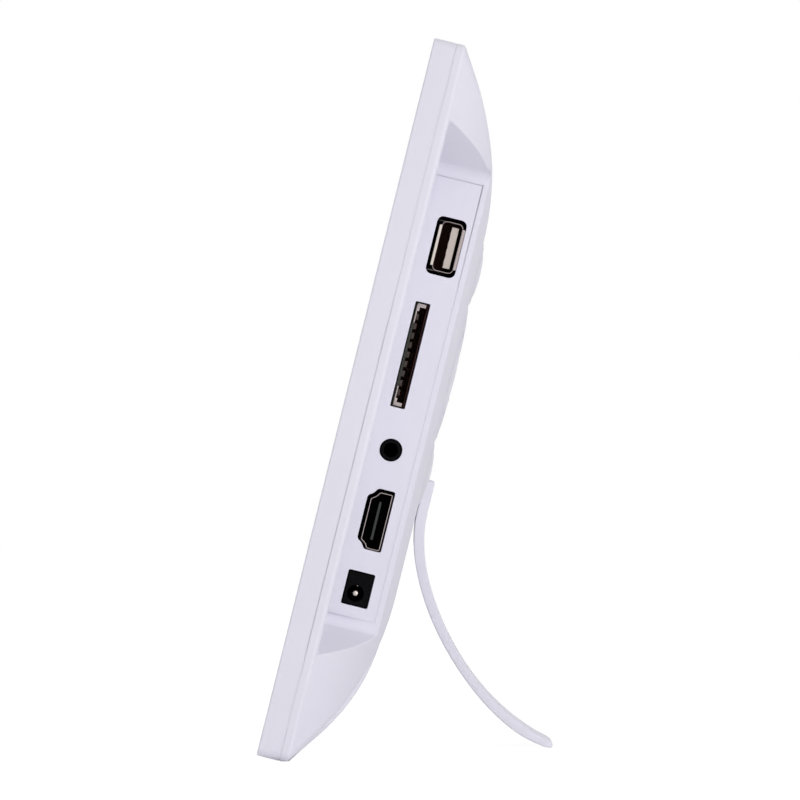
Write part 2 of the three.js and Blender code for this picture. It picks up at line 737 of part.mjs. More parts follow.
function dataPort() {
  const z = fromTop(dataPlace.drop);
  const [deep, tall] = dataSize.shell;
  const [tongueDeep, tongueTall] = dataSize.tongue;
  const { depth } = dataPlace;
  const back = mouth - dataSize.length;
  const outline = (grow) => rounded(rectangle(
    depth - deep / 2 - grow, depth + deep / 2 + grow, z - tall / 2 - grow, z + tall / 2 + grow,
  ), 0.6, 2);
  const tube = prism("x", outline(0), back, mouth);
  const inside = prism("x", outline(-shellSheet), back - 1, mouth + 1);
  const legs = [-1, 1].map((side) => block(
    back + 3, back + 6, partSeat, depth, z + side * (tall / 2) - 0.15, z + side * (tall / 2) + 0.15,
  ));
  addPiece("data_shell", cut(joined([tube, ...legs]), inside), steel);

  const tongueMiddle = depth + 1.2;
  const core = block(
    back + 0.1, back + 3, depth - deep / 2 + shellSheet + fit, depth + deep / 2 - shellSheet - fit,
    z - tall / 2 + shellSheet + fit, z + tall / 2 - shellSheet - fit,
  );
  const tongue = block(
    back + 1, mouth - 1, tongueMiddle - tongueDeep / 2, tongueMiddle + tongueDeep / 2,
    z - tongueTall / 2, z + tongueTall / 2,
  );
  addPiece("data_tongue", core.add(tongue), tongueResin);
}

function cardPort() {
  const z = fromTop(cardPlace.drop);
  const { carrier, card, gap, length } = cardSize;
  const back = boardRight - length;
  const floor = partSeat + 0.6;
  const rim = floor + gap - fit;
  const tray = block(back, boardRight, partSeat, rim, z - carrier / 2, z + carrier / 2);
  const pocket = block(back + 1.5, boardRight + 1, floor, rim + 1, z - card / 2, z + card / 2);
  addPiece("card_carrier", tray.subtract(pocket), blackPlastic);

  const half = carrier / 2 + fit;
  const lid = floor + gap;
  const cover = block(
    back, boardRight, partSeat, lid + shellSheet, z - half - shellSheet, z + half + shellSheet,
  );
  const inside = block(back - 1, boardRight + 1, partSeat - 1, lid, z - half, z + half);
  addPiece("card_shell", cover.subtract(inside), steel);
}

function audioPort() {
  const z = fromTop(audioPlace.drop);
  const { nose, bore, body: [deep, tall], length } = audioSize;
  const back = boardRight - length;
  const body = block(back, boardRight, partSeat, partSeat + deep, z - tall / 2, z + tall / 2);
  const neck = crossRod(nose, boardRight - 1, mouth + mouthRecess, audioPlace.depth, z);
  const hole = crossRod(bore, back + 1, portWall + 1, audioPlace.depth, z, 16);
  addPiece("audio_socket", body.add(neck).subtract(hole), blackPlastic);
}

function videoPort() {
  const z = fromTop(videoPlace.drop);
  const { shell, length, tongue: [deep, tall] } = videoSize;
  const back = mouth - length;
  const inner = shell.map((size) => size - 2 * shellSheet);
  const core = inner.map((size) => size - 2 * fit);
  const tube = prism("x", videoOutline(shell, cornerCut), back, mouth);
  const inside = prism("x", videoOutline(inner, cornerCut - shellSheet), back - 1, mouth + 1);
  addPiece("video_shell", tube.subtract(inside), steel);

  const plug = prism("x", videoOutline(core, cornerCut - shellSheet), back, back + 3);
  const tongue = block(
    back + 1, mouth - 1, videoPlace.depth - deep / 2, videoPlace.depth + deep / 2,
    z - tall / 2, z + tall / 2,
  );
  addPiece("video_tongue", plug.add(tongue), blackPlastic);
}

function powerPort() {
  const z = fromTop(powerPlace.drop);
  const { body: [deep, tall], length, bore, pin } = powerSize;
  const { depth } = powerPlace;
  const zBore = z - powerBoreDrop;
  const back = boardRight - length;
  const body = block(back, portWall - 0.2, depth - deep / 2, depth + deep / 2, z - tall / 2, z + tall / 2);
  const hole = crossRod(bore, back + 2, portWall + 1, depth - 0.4, zBore);
  const seat = crossRod(pin + fit, back - 1, back + 3, depth - 0.4, zBore, 12);
  addPiece("power_socket", cut(body, hole, seat), blackPlastic);
  addPiece("power_pin", crossRod(pin, back + 0.2, mouth - 1, depth - 0.4, zBore, 12), steel);
}

dataPort();
cardPort();
audioPort();
videoPort();
powerPort();

// ---------------------------------------------------------------- key board and keys

function addKeyBoard() {
  const sheet = block(
    keysX - keyBoardWidth / 2, keysX + keyBoardWidth / 2,
    keyBoardFront, keyBoardBack, keyBoardLow, keyBoardHigh,
  );
  const holes = keyBoardScrews.map(
    ([x, z]) => rod(screwRadius + fit, keyBoardFront - 1, keyBoardBack + 1, x, z),
  );
  addPiece("key_board", cut(sheet, holes), circuitBoard);
  keyBoardScrews.forEach(([x, z], i) => addScrew(`key_screw_${i + 1}`, x, z, keyBoardFront, 1));
}

function addKey({ name, x, z, rise, outline }) {
  const capFront = plungerTop + fit;
  const lip = prism("y", outline(keyHoleClearance + keyLip), capFront, capFront + keyLipThickness);
  const cap = prism("y", outline(0), capFront, coverDepth + rise);
  addPiece(name, lip.add(cap), whitePlastic);

  const wellFloor = switchTop - keyTravel - 2 * fit - 0.5;
  const half = switchSize / 2;
  const body = block(x - half, x + half, keyBoardBack + fit, switchTop, z - half, z + half);
  const well = rod(plungerRadius + fit, wellFloor, switchTop + 1, x, z);
  addPiece(name.replace("key", "switch"), body.subtract(well), blackPlastic);
  const plungerFoot = wellFloor + fit + keyTravel;
  addPiece(name.replace("key", "plunger"), rod(plungerRadius, plungerFoot, plungerTop, x, z), blackPlastic);
}

addKeyBoard();
keys.forEach(addKey);

// ---------------------------------------------------------------- speakers, ribbons and leads

function addSpeaker(name, side) {
  const x = side * speakerSide;
  const z = speakerHeight;
  const back = coverCeiling - fit;
  const frame = rod(speakerRadius, back - speakerDepth / 3, back, x, z, 24);
  const magnet = rod(speakerRadius * 0.6, back - speakerDepth, back - speakerDepth / 4, x, z, 20);
  const dish = rod(speakerRadius * 0.8, back - speakerDepth / 5, back + 1, x, z, 24);
  addPiece(name, frame.add(magnet).subtract(dish), speakerCone);
}

addSpeaker("left_speaker", -1);
addSpeaker("right_speaker", 1);

// A flat strip whose middle follows a curve in the y-z plane.
function ribbon(curve, thickness, x, ribbonWidth, steps) {
  const side = (step, sign) => {
    const [point, along] = [curve.getPoint(step / steps), curve.getTangent(step / steps)];
    return [point.x - sign * along.y * thickness / 2, point.y + sign * along.x * thickness / 2];
  };
  const count = Array.from({ length: steps + 1 }, (_, step) => step);
  const outline = count.map((step) => side(step, 1)).concat(count.map((step) => side(step, -1)).reverse());
  return prism("x", outline, x - ribbonWidth / 2, x + ribbonWidth / 2);
}

function point2(y, z) {
  return new THREE.Vector2(y, z);
}

function addRibbons() {
  const film = 0.3;
  const panRest = moduleBack + fit + film / 2;
  const socketMiddle = boardBack + ribbonSocket.size[1] / 2;
  const socketEnd = ribbonSocket.z - ribbonSocket.size[2] / 2 - fit;
  const start = socketEnd - 13;
  const screenRun = new THREE.CubicBezierCurve(
    point2(panRest, start), point2(panRest, start + 9),
    point2(socketMiddle, start + 2), point2(socketMiddle, socketEnd),
  );
  addPiece("screen_ribbon", ribbon(screenRun, film, ribbonSocket.x, 20, 14), ribbonFilm);

  const keySocketEnd = keySocket.z + keySocket.size[2] / 2 + fit;
  const keySocketMiddle = boardBack + keySocket.size[1] / 2;
  const keyRest = keyBoardFront - fit - film / 2;
  const keyEnd = keyBoardLow + 6;
  const keyRun = new THREE.CubicBezierCurve(
    point2(keySocketMiddle, keySocketEnd), point2(keySocketMiddle, keyEnd - 5),
    point2(keyRest, keySocketEnd + 4), point2(keyRest, keyEnd),
  );
  addPiece("key_ribbon", ribbon(keyRun, film, keySocket.x, 8, 12), ribbonFilm);
}

addRibbons();

function addLead(name, points, steps) {
  const path = new THREE.CatmullRomCurve3(points.map((point) => new THREE.Vector3(...point)));
  const section = circleOutline(0, 0, leadRadius, 8).map(([u, v]) => new THREE.Vector2(u, v));
  const geometry = new THREE.ExtrudeGeometry(
    new THREE.Shape(section), { steps, extrudePath: path, bevelEnabled: false },
  );
  addPiece(name, toSolid(geometry), blackPlastic);
}

function addLeads() {
  const magnetFace = coverCeiling - fit - speakerDepth - fit - leadRadius;
  const panRest = moduleBack + leadRadius + fit + 0.2;
  const socketMiddle = boardBack + leadSocketSize[1] / 2;
  const socketEnd = leadSockets[0].x - leadSocketSize[0] / 2 - fit;
  const [left, right] = [leadSockets[0].z, leadSockets[1].z];
  const z = speakerHeight;
  addLead("left_lead", [
    [-speakerSide, magnetFace, z],
    [-speakerSide + leadDrop / 2, magnetFace - 1, z - leadDrop * 0.4],
    [-speakerSide + speakerRadius, panRest + 2, z - leadDrop * 0.9],
    [-speakerSide + 2 * speakerRadius, panRest, z - leadDrop],
    [0, panRest, z - leadDrop],
    [boardLeft - 1.5 * leadDrop, panRest, left - 1],
    [boardLeft - leadDrop / 2, panRest + 2, left],
    [boardLeft - 1, socketMiddle - 0.5, left],
    [socketEnd, socketMiddle, left],
  ], 28);
  addLead("right_lead", [
    [speakerSide, magnetFace, z],
    [speakerSide + 1, magnetFace - 1, z + 3],
    [boardLeft + 0.5, socketMiddle + 0.3, right - 0.5],
    [socketEnd, socketMiddle, right],
  ], 8);
}

addLeads();

// ---------------------------------------------------------------- leg

// The leg's edges, seen from the side as [y, z] points: a straight plate against the back that
// sweeps out in one curve to the foot. Its end is round, and flat where it stands.
function legOutline() {
  const half = legThickness / 2;
  const plate = coverDepth + fit + half;
  const foot = new THREE.Vector2(legFootDepth, floorHeight(legFootDepth) + half - legFootCut);
  const heading = new THREE.Vector2(Math.cos(legFootAngle), -Math.sin(legFootAngle));
  const sweep = new THREE.CubicBezierCurve(
    point2(plate, legBend), point2(plate, legBend - legUpperPull),
    foot.clone().addScaledVector(heading, -legLowerPull), foot,
  );
  const edge = (sign) => Array.from({ length: legSteps + 1 }, (_, step) => {
    const [point, along] = [sweep.getPoint(step / legSteps), sweep.getTangent(step / legSteps)];
    return [point.x - sign * along.y * half, point.y + sign * along.x * half];
  });
  const tip = Array.from({ length: 5 }, (_, i) => {
    const angle = Math.PI * (1 / 2 - (i + 1) / 6);
    const normal = new THREE.Vector2(-heading.y, heading.x);
    return foot.clone()
      .addScaledVector(heading, half * Math.cos(angle))
      .addScaledVector(normal, half * Math.sin(angle))
      .toArray();
  });
  const corner = 0.5;
  const head = [
    [plate - half, legTop - corner], [plate - half + corner, legTop],
    [plate + half - corner, legTop], [plate + half, legTop - corner],
  ];
  return [...head, ...edge(1), ...tip, ...edge(-1).reverse()];
}

function makeLeg() {
  const plate = prism("x", legOutline(), -legWidth / 2, legWidth / 2);
  const ground = prism("x", [
    [0, floorHeight(0)], [2 * legFootDepth, floorHeight(2 * legFootDepth)],
    [2 * legFootDepth, -50], [0, -50],
  ], -legWidth, legWidth);
  const face = coverDepth + fit;
  const headBack = coverCeiling - fit;
  const hooks = hookSides.flatMap((x) => [
    block(x - hookNeck / 2, x + hookNeck / 2, headBack - hookThickness / 2, face + 1, hookLow, hookTop),
    block(x - hookHead / 2, x + hookHead / 2, headBack - hookThickness, headBack, hookLow, hookTop),
  ]);
  return cut(joined([plate, ...hooks]), ground);
}

addPiece("stand_leg", makeLeg(), whitePlastic);

// ---------------------------------------------------------------- lean the whole back

casing.rotation.x = -leanAngle;

const photoFrame = new THREE.Group();
photoFrame.add(casing);
photoFrame.updateMatrixWorld(true);
const room = new THREE.Box3().setFromObject(photoFrame, true);
casing.position.y -= (room.min.y + room.max.y) / 2;
casing.position.z -= room.min.z;

export default photoFrame;
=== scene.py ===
# %% [markdown]
# # A digital photo frame on its plug-in leg
# The frame is a flat screen in a white casing that leans back on a curved leg. The casing is two
# mouldings: a front bezel and a crowned rear cover, with a bay in the cover's side for five sockets.
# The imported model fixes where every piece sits, so this lesson loads it first and takes its places
# from it. The pieces that show are then modelled again with rounded edges and finer detail, and
# the ones inside the casing keep their shape and get a proper material.

import json
import math

import bmesh
import bpy
from mathutils import Matrix, Vector

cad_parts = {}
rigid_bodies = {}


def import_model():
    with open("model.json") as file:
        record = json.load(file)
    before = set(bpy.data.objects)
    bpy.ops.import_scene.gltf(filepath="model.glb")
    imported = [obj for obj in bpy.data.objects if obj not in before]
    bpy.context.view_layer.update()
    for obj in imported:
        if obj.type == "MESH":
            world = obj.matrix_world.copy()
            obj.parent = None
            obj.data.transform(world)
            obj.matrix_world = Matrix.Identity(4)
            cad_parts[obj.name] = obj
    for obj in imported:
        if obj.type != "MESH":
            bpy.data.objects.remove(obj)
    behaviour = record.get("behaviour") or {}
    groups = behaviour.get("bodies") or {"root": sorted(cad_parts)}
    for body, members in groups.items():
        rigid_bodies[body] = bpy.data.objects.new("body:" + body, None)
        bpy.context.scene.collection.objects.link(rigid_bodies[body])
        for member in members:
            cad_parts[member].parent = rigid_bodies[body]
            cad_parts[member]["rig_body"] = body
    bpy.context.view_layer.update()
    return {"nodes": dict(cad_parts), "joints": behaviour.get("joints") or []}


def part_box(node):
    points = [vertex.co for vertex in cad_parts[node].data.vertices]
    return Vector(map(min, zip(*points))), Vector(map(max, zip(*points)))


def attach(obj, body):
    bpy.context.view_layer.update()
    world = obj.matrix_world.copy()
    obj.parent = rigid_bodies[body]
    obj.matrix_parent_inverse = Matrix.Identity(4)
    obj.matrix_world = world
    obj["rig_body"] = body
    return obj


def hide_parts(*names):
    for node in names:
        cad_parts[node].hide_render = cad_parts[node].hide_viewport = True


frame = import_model()
for material in list(bpy.data.materials):
    bpy.data.materials.remove(material)

# %% [markdown]
# ## The camera
# A small object looks flat and true to size when it is seen from far off through a long lens. The
# camera stands almost three metres away, level with the middle of the casing, and looks straight
# at the side with the sockets.

# %% Camera
CAMERA_DISTANCE = 2.77  # from the casing's near side
CAMERA_SIDE = -0.00195
CAMERA_HEIGHT = 0.088
CAMERA_LENS = 512.3

near_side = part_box("front_bezel")[1].x
bpy.ops.object.camera_add(
    location=(near_side + CAMERA_DISTANCE, CAMERA_SIDE, CAMERA_HEIGHT),
    rotation=(math.pi / 2, 0, math.pi / 2),
)
camera = bpy.context.object
camera.name = "camera"
camera.data.lens = CAMERA_LENS
camera.data.sensor_width = 36
camera.data.clip_end = 50
bpy.context.scene.camera = camera
bpy.context.scene.view_settings.view_transform = "Standard"
print("camera at", tuple(round(value, 3) for value in camera.location))

# %% [markdown]
# ## Shader expressions
# A finish is mostly arithmetic on a few patterns: a little noise in the colour, a little in the
# roughness and a fine grain in the bump. Wiring that by hand takes many lines, so a small class
# wraps a socket and lets plain `+` and `*` add the Math nodes.


# %% Signals and finishes
class Signal:
    """A node's output that can be used in sums; each operation adds one Math node."""

    def __init__(self, nodes, socket):
        self.nodes = nodes
        self.socket = socket

    def math(self, operation, other):
        return self.nodes.node("ShaderNodeMath", {"operation": operation}, {0: self, 1: other})

    def __add__(self, other):
        return self.math("ADD", other)

    def __mul__(self, other):
        return self.math("MULTIPLY", other)

    __radd__ = __add__
    __rmul__ = __mul__


class Nodes:
    """A node tree, to which nodes are added by their type, settings and inputs."""

    def __init__(self, tree):
        self.tree = tree

    def link(self, value, socket):
        if isinstance(value, Signal):
            self.tree.links.new(value.socket, socket)
        else:
            socket.default_value = value

    def node(self, kind, settings=None, inputs=None, output=0):
        added = self.tree.nodes.new(kind)
        for name, value in (settings or {}).items():
            setattr(added, name, value)
        for name, value in (inputs or {}).items():
            self.link(value, added.inputs[name])
        return Signal(self, added.outputs[output])


class Finish(Nodes):
    """A material whose surface is one Principled shader."""

    def __init__(self, name):
        self.material = bpy.data.materials.new(name)
        self.material.use_nodes = True
        super().__init__(self.material.node_tree)
        self.surface = self.tree.nodes["Principled BSDF"]
        self.place = self.node("ShaderNodeTexCoord", output="Object")

    def noise(self, size, detail=2.0):
        """Soft noise whose blotches are about `size` metres across."""
        return self.node("ShaderNodeTexNoise", None, {
            "Vector": self.place, "Scale": 1 / size, "Detail": detail,
        })

    def blend(self, amount, first, second):
        """A mix of two colours, each given as it looks on a screen."""
        colours = {6: paint(*first), 7: paint(*second)}
        return self.node("ShaderNodeMix", {"data_type": "RGBA"}, {"Factor": amount} | colours, output=2)

    def bump(self, height, distance):
        return self.node("ShaderNodeBump", None, {
            "Height": height, "Distance": distance, "Strength": 1.0,
        })

    def set(self, **inputs):
        for name, value in inputs.items():
            self.link(value, self.surface.inputs[name.replace("_", " ")])
        return self


def paint(red, green, blue):
    """A colour given as it looks on a screen, 0 to 255, made linear for the shader."""
    def linear(value):
        share = value / 255
        return share / 12.92 if share <= 0.04045 else ((share + 0.055) / 1.055) ** 2.4
    return (linear(red), linear(green), linear(blue), 1.0)


print("shader helpers ready")

# %% [markdown]
# ## Moulded plastics
# The casing, the leg and the keys are injection-moulded in the same cool white, but the leg's copy
# of it is painted lighter, as painted light. Such a skin is satin rather than glossy: the mould is
# spark-eroded, which leaves a grain of a few tenths of a millimetre. The colour drifts a little where
# the melt cooled slower. Three patterns do this: a broad noise in the colour, a middle one in the
# roughness and a fine one in the bump.


# %% Plastic finishes
def moulded(name, light, dark, roughness, grain, depth, gloss=0.5):
    """A moulded plastic: two close tints, a roughness that wanders and a fine moulded grain."""
    finish = Finish(name)
    drift = finish.noise(0.045, 3.0)
    patch = finish.noise(0.006, 2.0)
    skin = finish.noise(grain, 3.0)
    finish.set(
        Base_Color=finish.blend(drift * 0.8 + patch * 0.2, dark, light),
        Roughness=roughness - 0.04 + 0.08 * patch + 0.05 * skin,
        Normal=finish.bump(skin, depth),
        Specular_IOR_Level=gloss,
    )
    return finish.material


white_casing = moulded("white_casing", (231, 229, 239), (227, 225, 235), 0.5, 0.0005, 0.00001, 0.15)
white_keys = moulded("white_keys", (231, 229, 239), (227, 225, 235), 0.42, 0.0004, 0.000006, 0.3)
# The leg's copy of the white is painted lighter than the casing's: painted light, for light the leg gets less
# of.
white_leg = moulded("white_leg", (241, 239, 248), (237, 235, 244), 0.5, 0.0005, 0.000006, 0.25)
black_plastic = moulded("black_plastic", (10, 9, 11), (6, 6, 7), 0.6, 0.0003, 0.00001, 0.04)
slot_resin = moulded("slot_resin", (64, 68, 63), (54, 57, 53), 0.6, 0.0003, 0.00001, 0.2)
tongue_resin = moulded("tongue_resin", (208, 197, 187), (196, 183, 173), 0.5, 0.0003, 0.000008, 0.4)
spring_resin = moulded("spring_resin", (74, 62, 58), (58, 48, 45), 0.5, 0.0004, 0.00001, 0.3)
# Painted shade: a brown for the shaded inside of the card pocket.
pocket_painted_shade = moulded("pocket_painted_shade", (150, 113, 99), (118, 86, 74), 0.6, 0.0006, 0.00002, 0.2)
# Painted shade: a dark brown for the insides of the sockets and the card lid's edge, where only shade falls.
painted_shade_brown = moulded("painted_shade_brown", (76, 50, 43), (58, 38, 32), 0.6, 0.0006, 0.00002, 0.1)
speaker_black = moulded("speaker_black", (48, 47, 50), (36, 35, 38), 0.7, 0.0008, 0.00004, 0.3)
lead_cover = moulded("lead_cover", (30, 29, 31), (20, 19, 21), 0.6, 0.0006, 0.00002, 0.35)
print("plastics:", [m.name for m in (white_casing, white_keys, white_leg, black_plastic)])

# %% [markdown]
# ## Metals
# The socket shells are bright tinned sheet, the pan behind the screen is rolled steel and the
# screws are zinc-plated. Rolled sheet shows fine lines along one direction, which a noise
# stretched by a Mapping node gives.


# %% Metal finishes
def rolled(name, light, dark, roughness, stretch, depth=0.000004):
    """Sheet metal with fine lines: noise squeezed along two directions."""
    finish = Finish(name)
    along = finish.node("ShaderNodeMapping", None, {"Vector": finish.place, "Scale": stretch})
    lines = finish.node("ShaderNodeTexNoise", None, {
        "Vector": along, "Scale": 1.0, "Detail": 4.0,
    })
    stain = finish.noise(0.004, 2.0)
    finish.set(
        Base_Color=finish.blend(lines * 0.6 + stain * 0.4, dark, light),
        Roughness=roughness + 0.12 * lines + 0.06 * stain,
        Normal=finish.bump(lines, depth),
        Metallic=1.0,
    )
    return finish.material


socket_steel = rolled("socket_steel", (190, 182, 175), (166, 158, 151), 0.26, (400, 3000, 3000))
# A darker copy of the socket steel; on the data socket's back lip and inside its mouth it is painted shade.
dull_and_shaded_steel = rolled("dull_and_shaded_steel", (168, 158, 157), (136, 126, 125), 0.4, (400, 3000, 3000))
pan_metal = rolled("pan_metal", (190, 192, 196), (160, 162, 166), 0.3, (150, 4000, 4000))
screw_steel = rolled("screw_steel", (200, 200, 202), (170, 170, 172), 0.3, (2500, 2500, 2500))
print("metals:", [m.name for m in (socket_steel, dull_and_shaded_steel, pan_metal, screw_steel)])

# %% [markdown]
# ## Screen, boards and films
# The screen is off: a nearly black panel behind a smooth polarising film, with a faint blue cast.
# The boards are green lacquer with a faint print of tracks, which a brick pattern suggests well
# enough for something that is only glimpsed through a slot.


# %% Screen finish
def screen_finish():
    finish = Finish("screen")
    film = finish.noise(0.03, 2.0)
    finish.set(
        Base_Color=finish.blend(film, (10, 11, 14), (15, 17, 21)),
        Roughness=0.12 + 0.05 * film,
        Normal=finish.bump(finish.noise(0.0004, 2.0), 0.000002),
        Specular_IOR_Level=0.3,
        Coat_Weight=0.08 + 0.04 * film,
        Coat_Roughness=0.08,
    )
    return finish.material


screen_glass = screen_finish()


# %% Circuit board finish
def board_finish():
    finish = Finish("board_green")
    tracks = finish.node("ShaderNodeTexBrick", {"offset": 0.5}, {
        "Vector": finish.place, "Scale": 160.0, "Mortar Size": 0.03,
    }, output="Fac")
    lacquer = finish.noise(0.008, 3.0)
    finish.set(
        Base_Color=finish.blend(tracks * 0.6 + lacquer * 0.3, (22, 66, 40), (46, 104, 62)),
        Roughness=0.32 + 0.15 * lacquer,
        Normal=finish.bump(tracks + 0.3 * lacquer, 0.00003),
        Specular_IOR_Level=0.5,
    )
    return finish.material


board_green = board_finish()


# %% Films, strip and light guide
ribbon_film = moulded("ribbon_film", (206, 160, 92), (186, 138, 74), 0.36, 0.001, 0.00001)
light_strip = moulded("light_strip", (232, 230, 218), (218, 214, 198), 0.45, 0.003, 0.00003)


def clear_finish():
    finish = Finish("clear_plastic")
    dots = finish.node("ShaderNodeTexVoronoi", None, {
        "Vector": finish.place, "Scale": 900.0,
    }, output="Distance")
    finish.set(
        Base_Color=finish.blend(finish.noise(0.02), (226, 232, 236), (238, 242, 244)),
        Roughness=0.12 + 0.08 * dots,
        Normal=finish.bump(dots, 0.00001),
        Specular_IOR_Level=0.5,
    )
    return finish.material


clear_plastic = clear_finish()
print("inner finishes:", [m.name for m in (screen_glass, board_green, ribbon_film, clear_plastic)])

# %% [markdown]
# ## The casing's own axes
# The casing leans back by fourteen degrees, which makes it awkward to model in place. So each
# piece is modelled upright in millimetres, with x to the right as the screen is looked at, y from
# the bezel's face to the back and z up from the lower edge. At the end one matrix leans it back
# into the frame. The lean comes from the direction in which the leg unplugs, and the corner from
# the bezel's box.

# %% Upright axes
BEZEL_DEPTH = 5.5

leg_joint = next(joint for joint in frame["joints"] if joint["child"] == "leg")
unplug = Vector(leg_joint["axis"])
LEAN = math.atan2(-unplug.y, -unplug.z)
bezel_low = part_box("front_bezel")[0]
LOWER_EDGE = Vector((0, bezel_low.y, bezel_low.z + BEZEL_DEPTH * math.sin(LEAN) / 1000))
PLACE = Matrix.Translation(LOWER_EDGE) @ Matrix.Rotation(-LEAN, 4, "X") @ Matrix.Scale(0.001, 4)
UPRIGHT = PLACE.inverted()


def seat(node):
    """The lowest and highest corners of a node's box in the upright axes, in millimetres."""
    points = [UPRIGHT @ vertex.co for vertex in frame["nodes"][node].data.vertices]
    return [Vector([pick(point[i] for point in points) for i in range(3)]) for pick in (min, max)]


def centre_of(node):
    """The x and z of a node's middle, in the same axes."""
    low, high = seat(node)
    return (low.x + high.x) / 2, (low.z + high.z) / 2


COVER_FRONT = seat("rear_cover")[0].y
COVER_BACK = seat("rear_cover")[1].y
WIDTH = seat("front_bezel")[1].x * 2
HEIGHT = seat("front_bezel")[1].z
MIDDLE = HEIGHT / 2
print("lean", round(math.degrees(LEAN), 2))
print("casing", round(WIDTH, 2), "x", round(HEIGHT, 2), "x", round(COVER_BACK, 2))

# %% [markdown]
# ## Working by hand in code
# The helpers below are what a modeller does with the mouse: add a primitive, pick some faces or
# edges by where they are, and carve one solid with another.


# %% Adding and picking
NEAR = 0.01  # how far a vertex may be from the place where it is looked for
CLOSE = 0.05
LOOSE = 0.1


def only(piece):
    """Makes a piece the one selected and active object."""
    bpy.ops.object.select_all(action="DESELECT")
    piece.select_set(True)
    bpy.context.view_layer.objects.active = piece


def apply_place():
    bpy.ops.object.transform_apply(location=True, rotation=True, scale=True)


def named(name):
    piece = bpy.context.object
    piece.name = piece.data.name = name
    apply_place()
    return piece


def box(name, low, high):
    """A cube stretched between two corners."""
    low, high = Vector(low), Vector(high)
    bpy.ops.object.select_all(action="DESELECT")
    bpy.ops.mesh.primitive_cube_add(size=1, location=(low + high) / 2, scale=high - low)
    return named(name)


def block(name, centre, deep, tall, start, end):
    """A box along x, `deep` in y and `tall` in z round a socket's middle."""
    y, z = centre.yz
    return box(name, (start, y - deep / 2, z - tall / 2), (end, y + deep / 2, z + tall / 2))


TURNS = {"x": (0, math.pi / 2, 0), "y": (-math.pi / 2, 0, 0)}


def drum(name, radius, place, start, end, axis="y", sides=48):
    """A cylinder along x or y from `start` to `end`; `place` holds its other two coordinates."""
    middle = (start + end) / 2
    bpy.ops.object.select_all(action="DESELECT")
    bpy.ops.mesh.primitive_cylinder_add(
        vertices=sides, radius=radius, depth=end - start, rotation=TURNS[axis],
        location=(middle, *place) if axis == "x" else (place[0], middle, place[1]),
    )
    return named(name)


def edit(piece):
    only(piece)
    bpy.ops.object.mode_set(mode="EDIT")


def done():
    bpy.ops.object.mode_set(mode="OBJECT")


def choose(kind, wanted):
    """In edit mode, selects just the verts, edges or faces that `wanted` accepts."""
    modes = {"verts": "VERT", "edges": "EDGE", "faces": "FACE"}
    bpy.ops.mesh.select_mode(type=modes[kind])
    bpy.ops.mesh.select_all(action="DESELECT")
    data = bpy.context.edit_object.data
    shape = bmesh.from_edit_mesh(data)
    picked = [element for element in getattr(shape, kind) if wanted(element)]
    for element in picked:
        element.select_set(True)
    bmesh.update_edit_mesh(data)
    return len(picked)


def runs_along(edge, axis):
    """Whether an edge runs along one axis, 0, 1 or 2."""
    along = (edge.verts[0].co - edge.verts[1].co).normalized()
    return abs(along[axis]) > 0.999


def middle_of(edge):
    return (edge.verts[0].co + edge.verts[1].co) / 2


def bevel_along(piece, axis, width, segments, profile=0.5, wanted=lambda edge: True):
    """Bevels a piece's edges along an axis, or those of them that `wanted` accepts."""
    edit(piece)
    choose("edges", lambda edge: runs_along(edge, axis) and wanted(edge))
    bpy.ops.mesh.bevel(offset=width, segments=segments, profile=profile)
    done()
    return piece


print("modelling helpers ready")


# %% Carving, joining and finishing
def combine(piece, tool, operation):
    """Applies a Boolean with another object, which it uses up."""
    only(piece)
    modifier = piece.modifiers.new("combine", "BOOLEAN")
    modifier.operation = operation
    modifier.solver = "EXACT"
    modifier.object = tool
    bpy.ops.object.modifier_apply(modifier="combine")
    bpy.data.objects.remove(tool)


def carve(piece, tool):
    combine(piece, tool, "DIFFERENCE")


def weld(piece, tool):
    combine(piece, tool, "UNION")


def together(name, pieces):
    """Joins several objects into one, without a Boolean."""
    only(pieces[0])
    for piece in pieces:
        piece.select_set(True)
    bpy.ops.object.join()
    pieces[0].name = name
    return pieces[0]


def round_edges(piece, width, segments=2, angle=40):
    """Rounds every edge sharper than `angle` with a Bevel modifier."""
    only(piece)
    modifier = piece.modifiers.new("edges", "BEVEL")
    modifier.width = width
    modifier.segments = segments
    modifier.limit_method = "ANGLE"
    modifier.angle_limit = math.radians(angle)
    modifier.use_clamp_overlap = False
    bpy.ops.object.modifier_apply(modifier="edges")


made = []


def settle(piece, node, finish, smooth=40, parts=()):
    """Leans a piece back into the frame, shades it and lets it stand for its CAD node."""
    piece.name = piece.data.name = node + "_skin"
    piece.data.materials.clear()
    piece.data.materials.append(finish)
    for index, (other, covers) in enumerate(parts, 1):
        piece.data.materials.append(other)
        for face in piece.data.polygons:
            if covers(face.center, face.normal):
                face.material_index = index
    piece.matrix_world = PLACE
    only(piece)
    apply_place()
    bpy.ops.object.shade_smooth_by_angle(angle=math.radians(smooth))
    modifier = piece.modifiers.new("flats", "WEIGHTED_NORMAL")
    modifier.keep_sharp = True
    modifier.weight = 100
    bpy.ops.object.modifier_apply(modifier="flats")
    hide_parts(node)
    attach(piece, frame["nodes"][node]["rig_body"])
    made.append(piece.name)
    print("made", piece.name, len(piece.data.polygons), "faces")


# %% [markdown]
# ## The front bezel
# A moulded tray, open at the back: a face with the screen's window, and a wall round the rim. It
# starts as a slab. The four corners are rounded, then the tray's hollow and the window are carved,
# and last a fine bevel runs round every edge. Inside are a rib that holds the screen, four screw
# bosses and ten tongues that snap into the cover.

# %% Bezel slab and hollow
BEZEL_WALL = 2.0
BEZEL_FACE = 1.6
CORNER = 2.5
INNER_CORNER = 0.6
FACE_ROUND = 0.45  # of the edge round the face


def rounded_slab(name, inset, front, back, radius, segments=6):
    """A slab the size of the casing less `inset` all round, with rounded corners."""
    slab = box(name, (inset - WIDTH / 2, front, inset), (WIDTH / 2 - inset, back, HEIGHT - inset))
    return bevel_along(slab, 1, radius, segments)


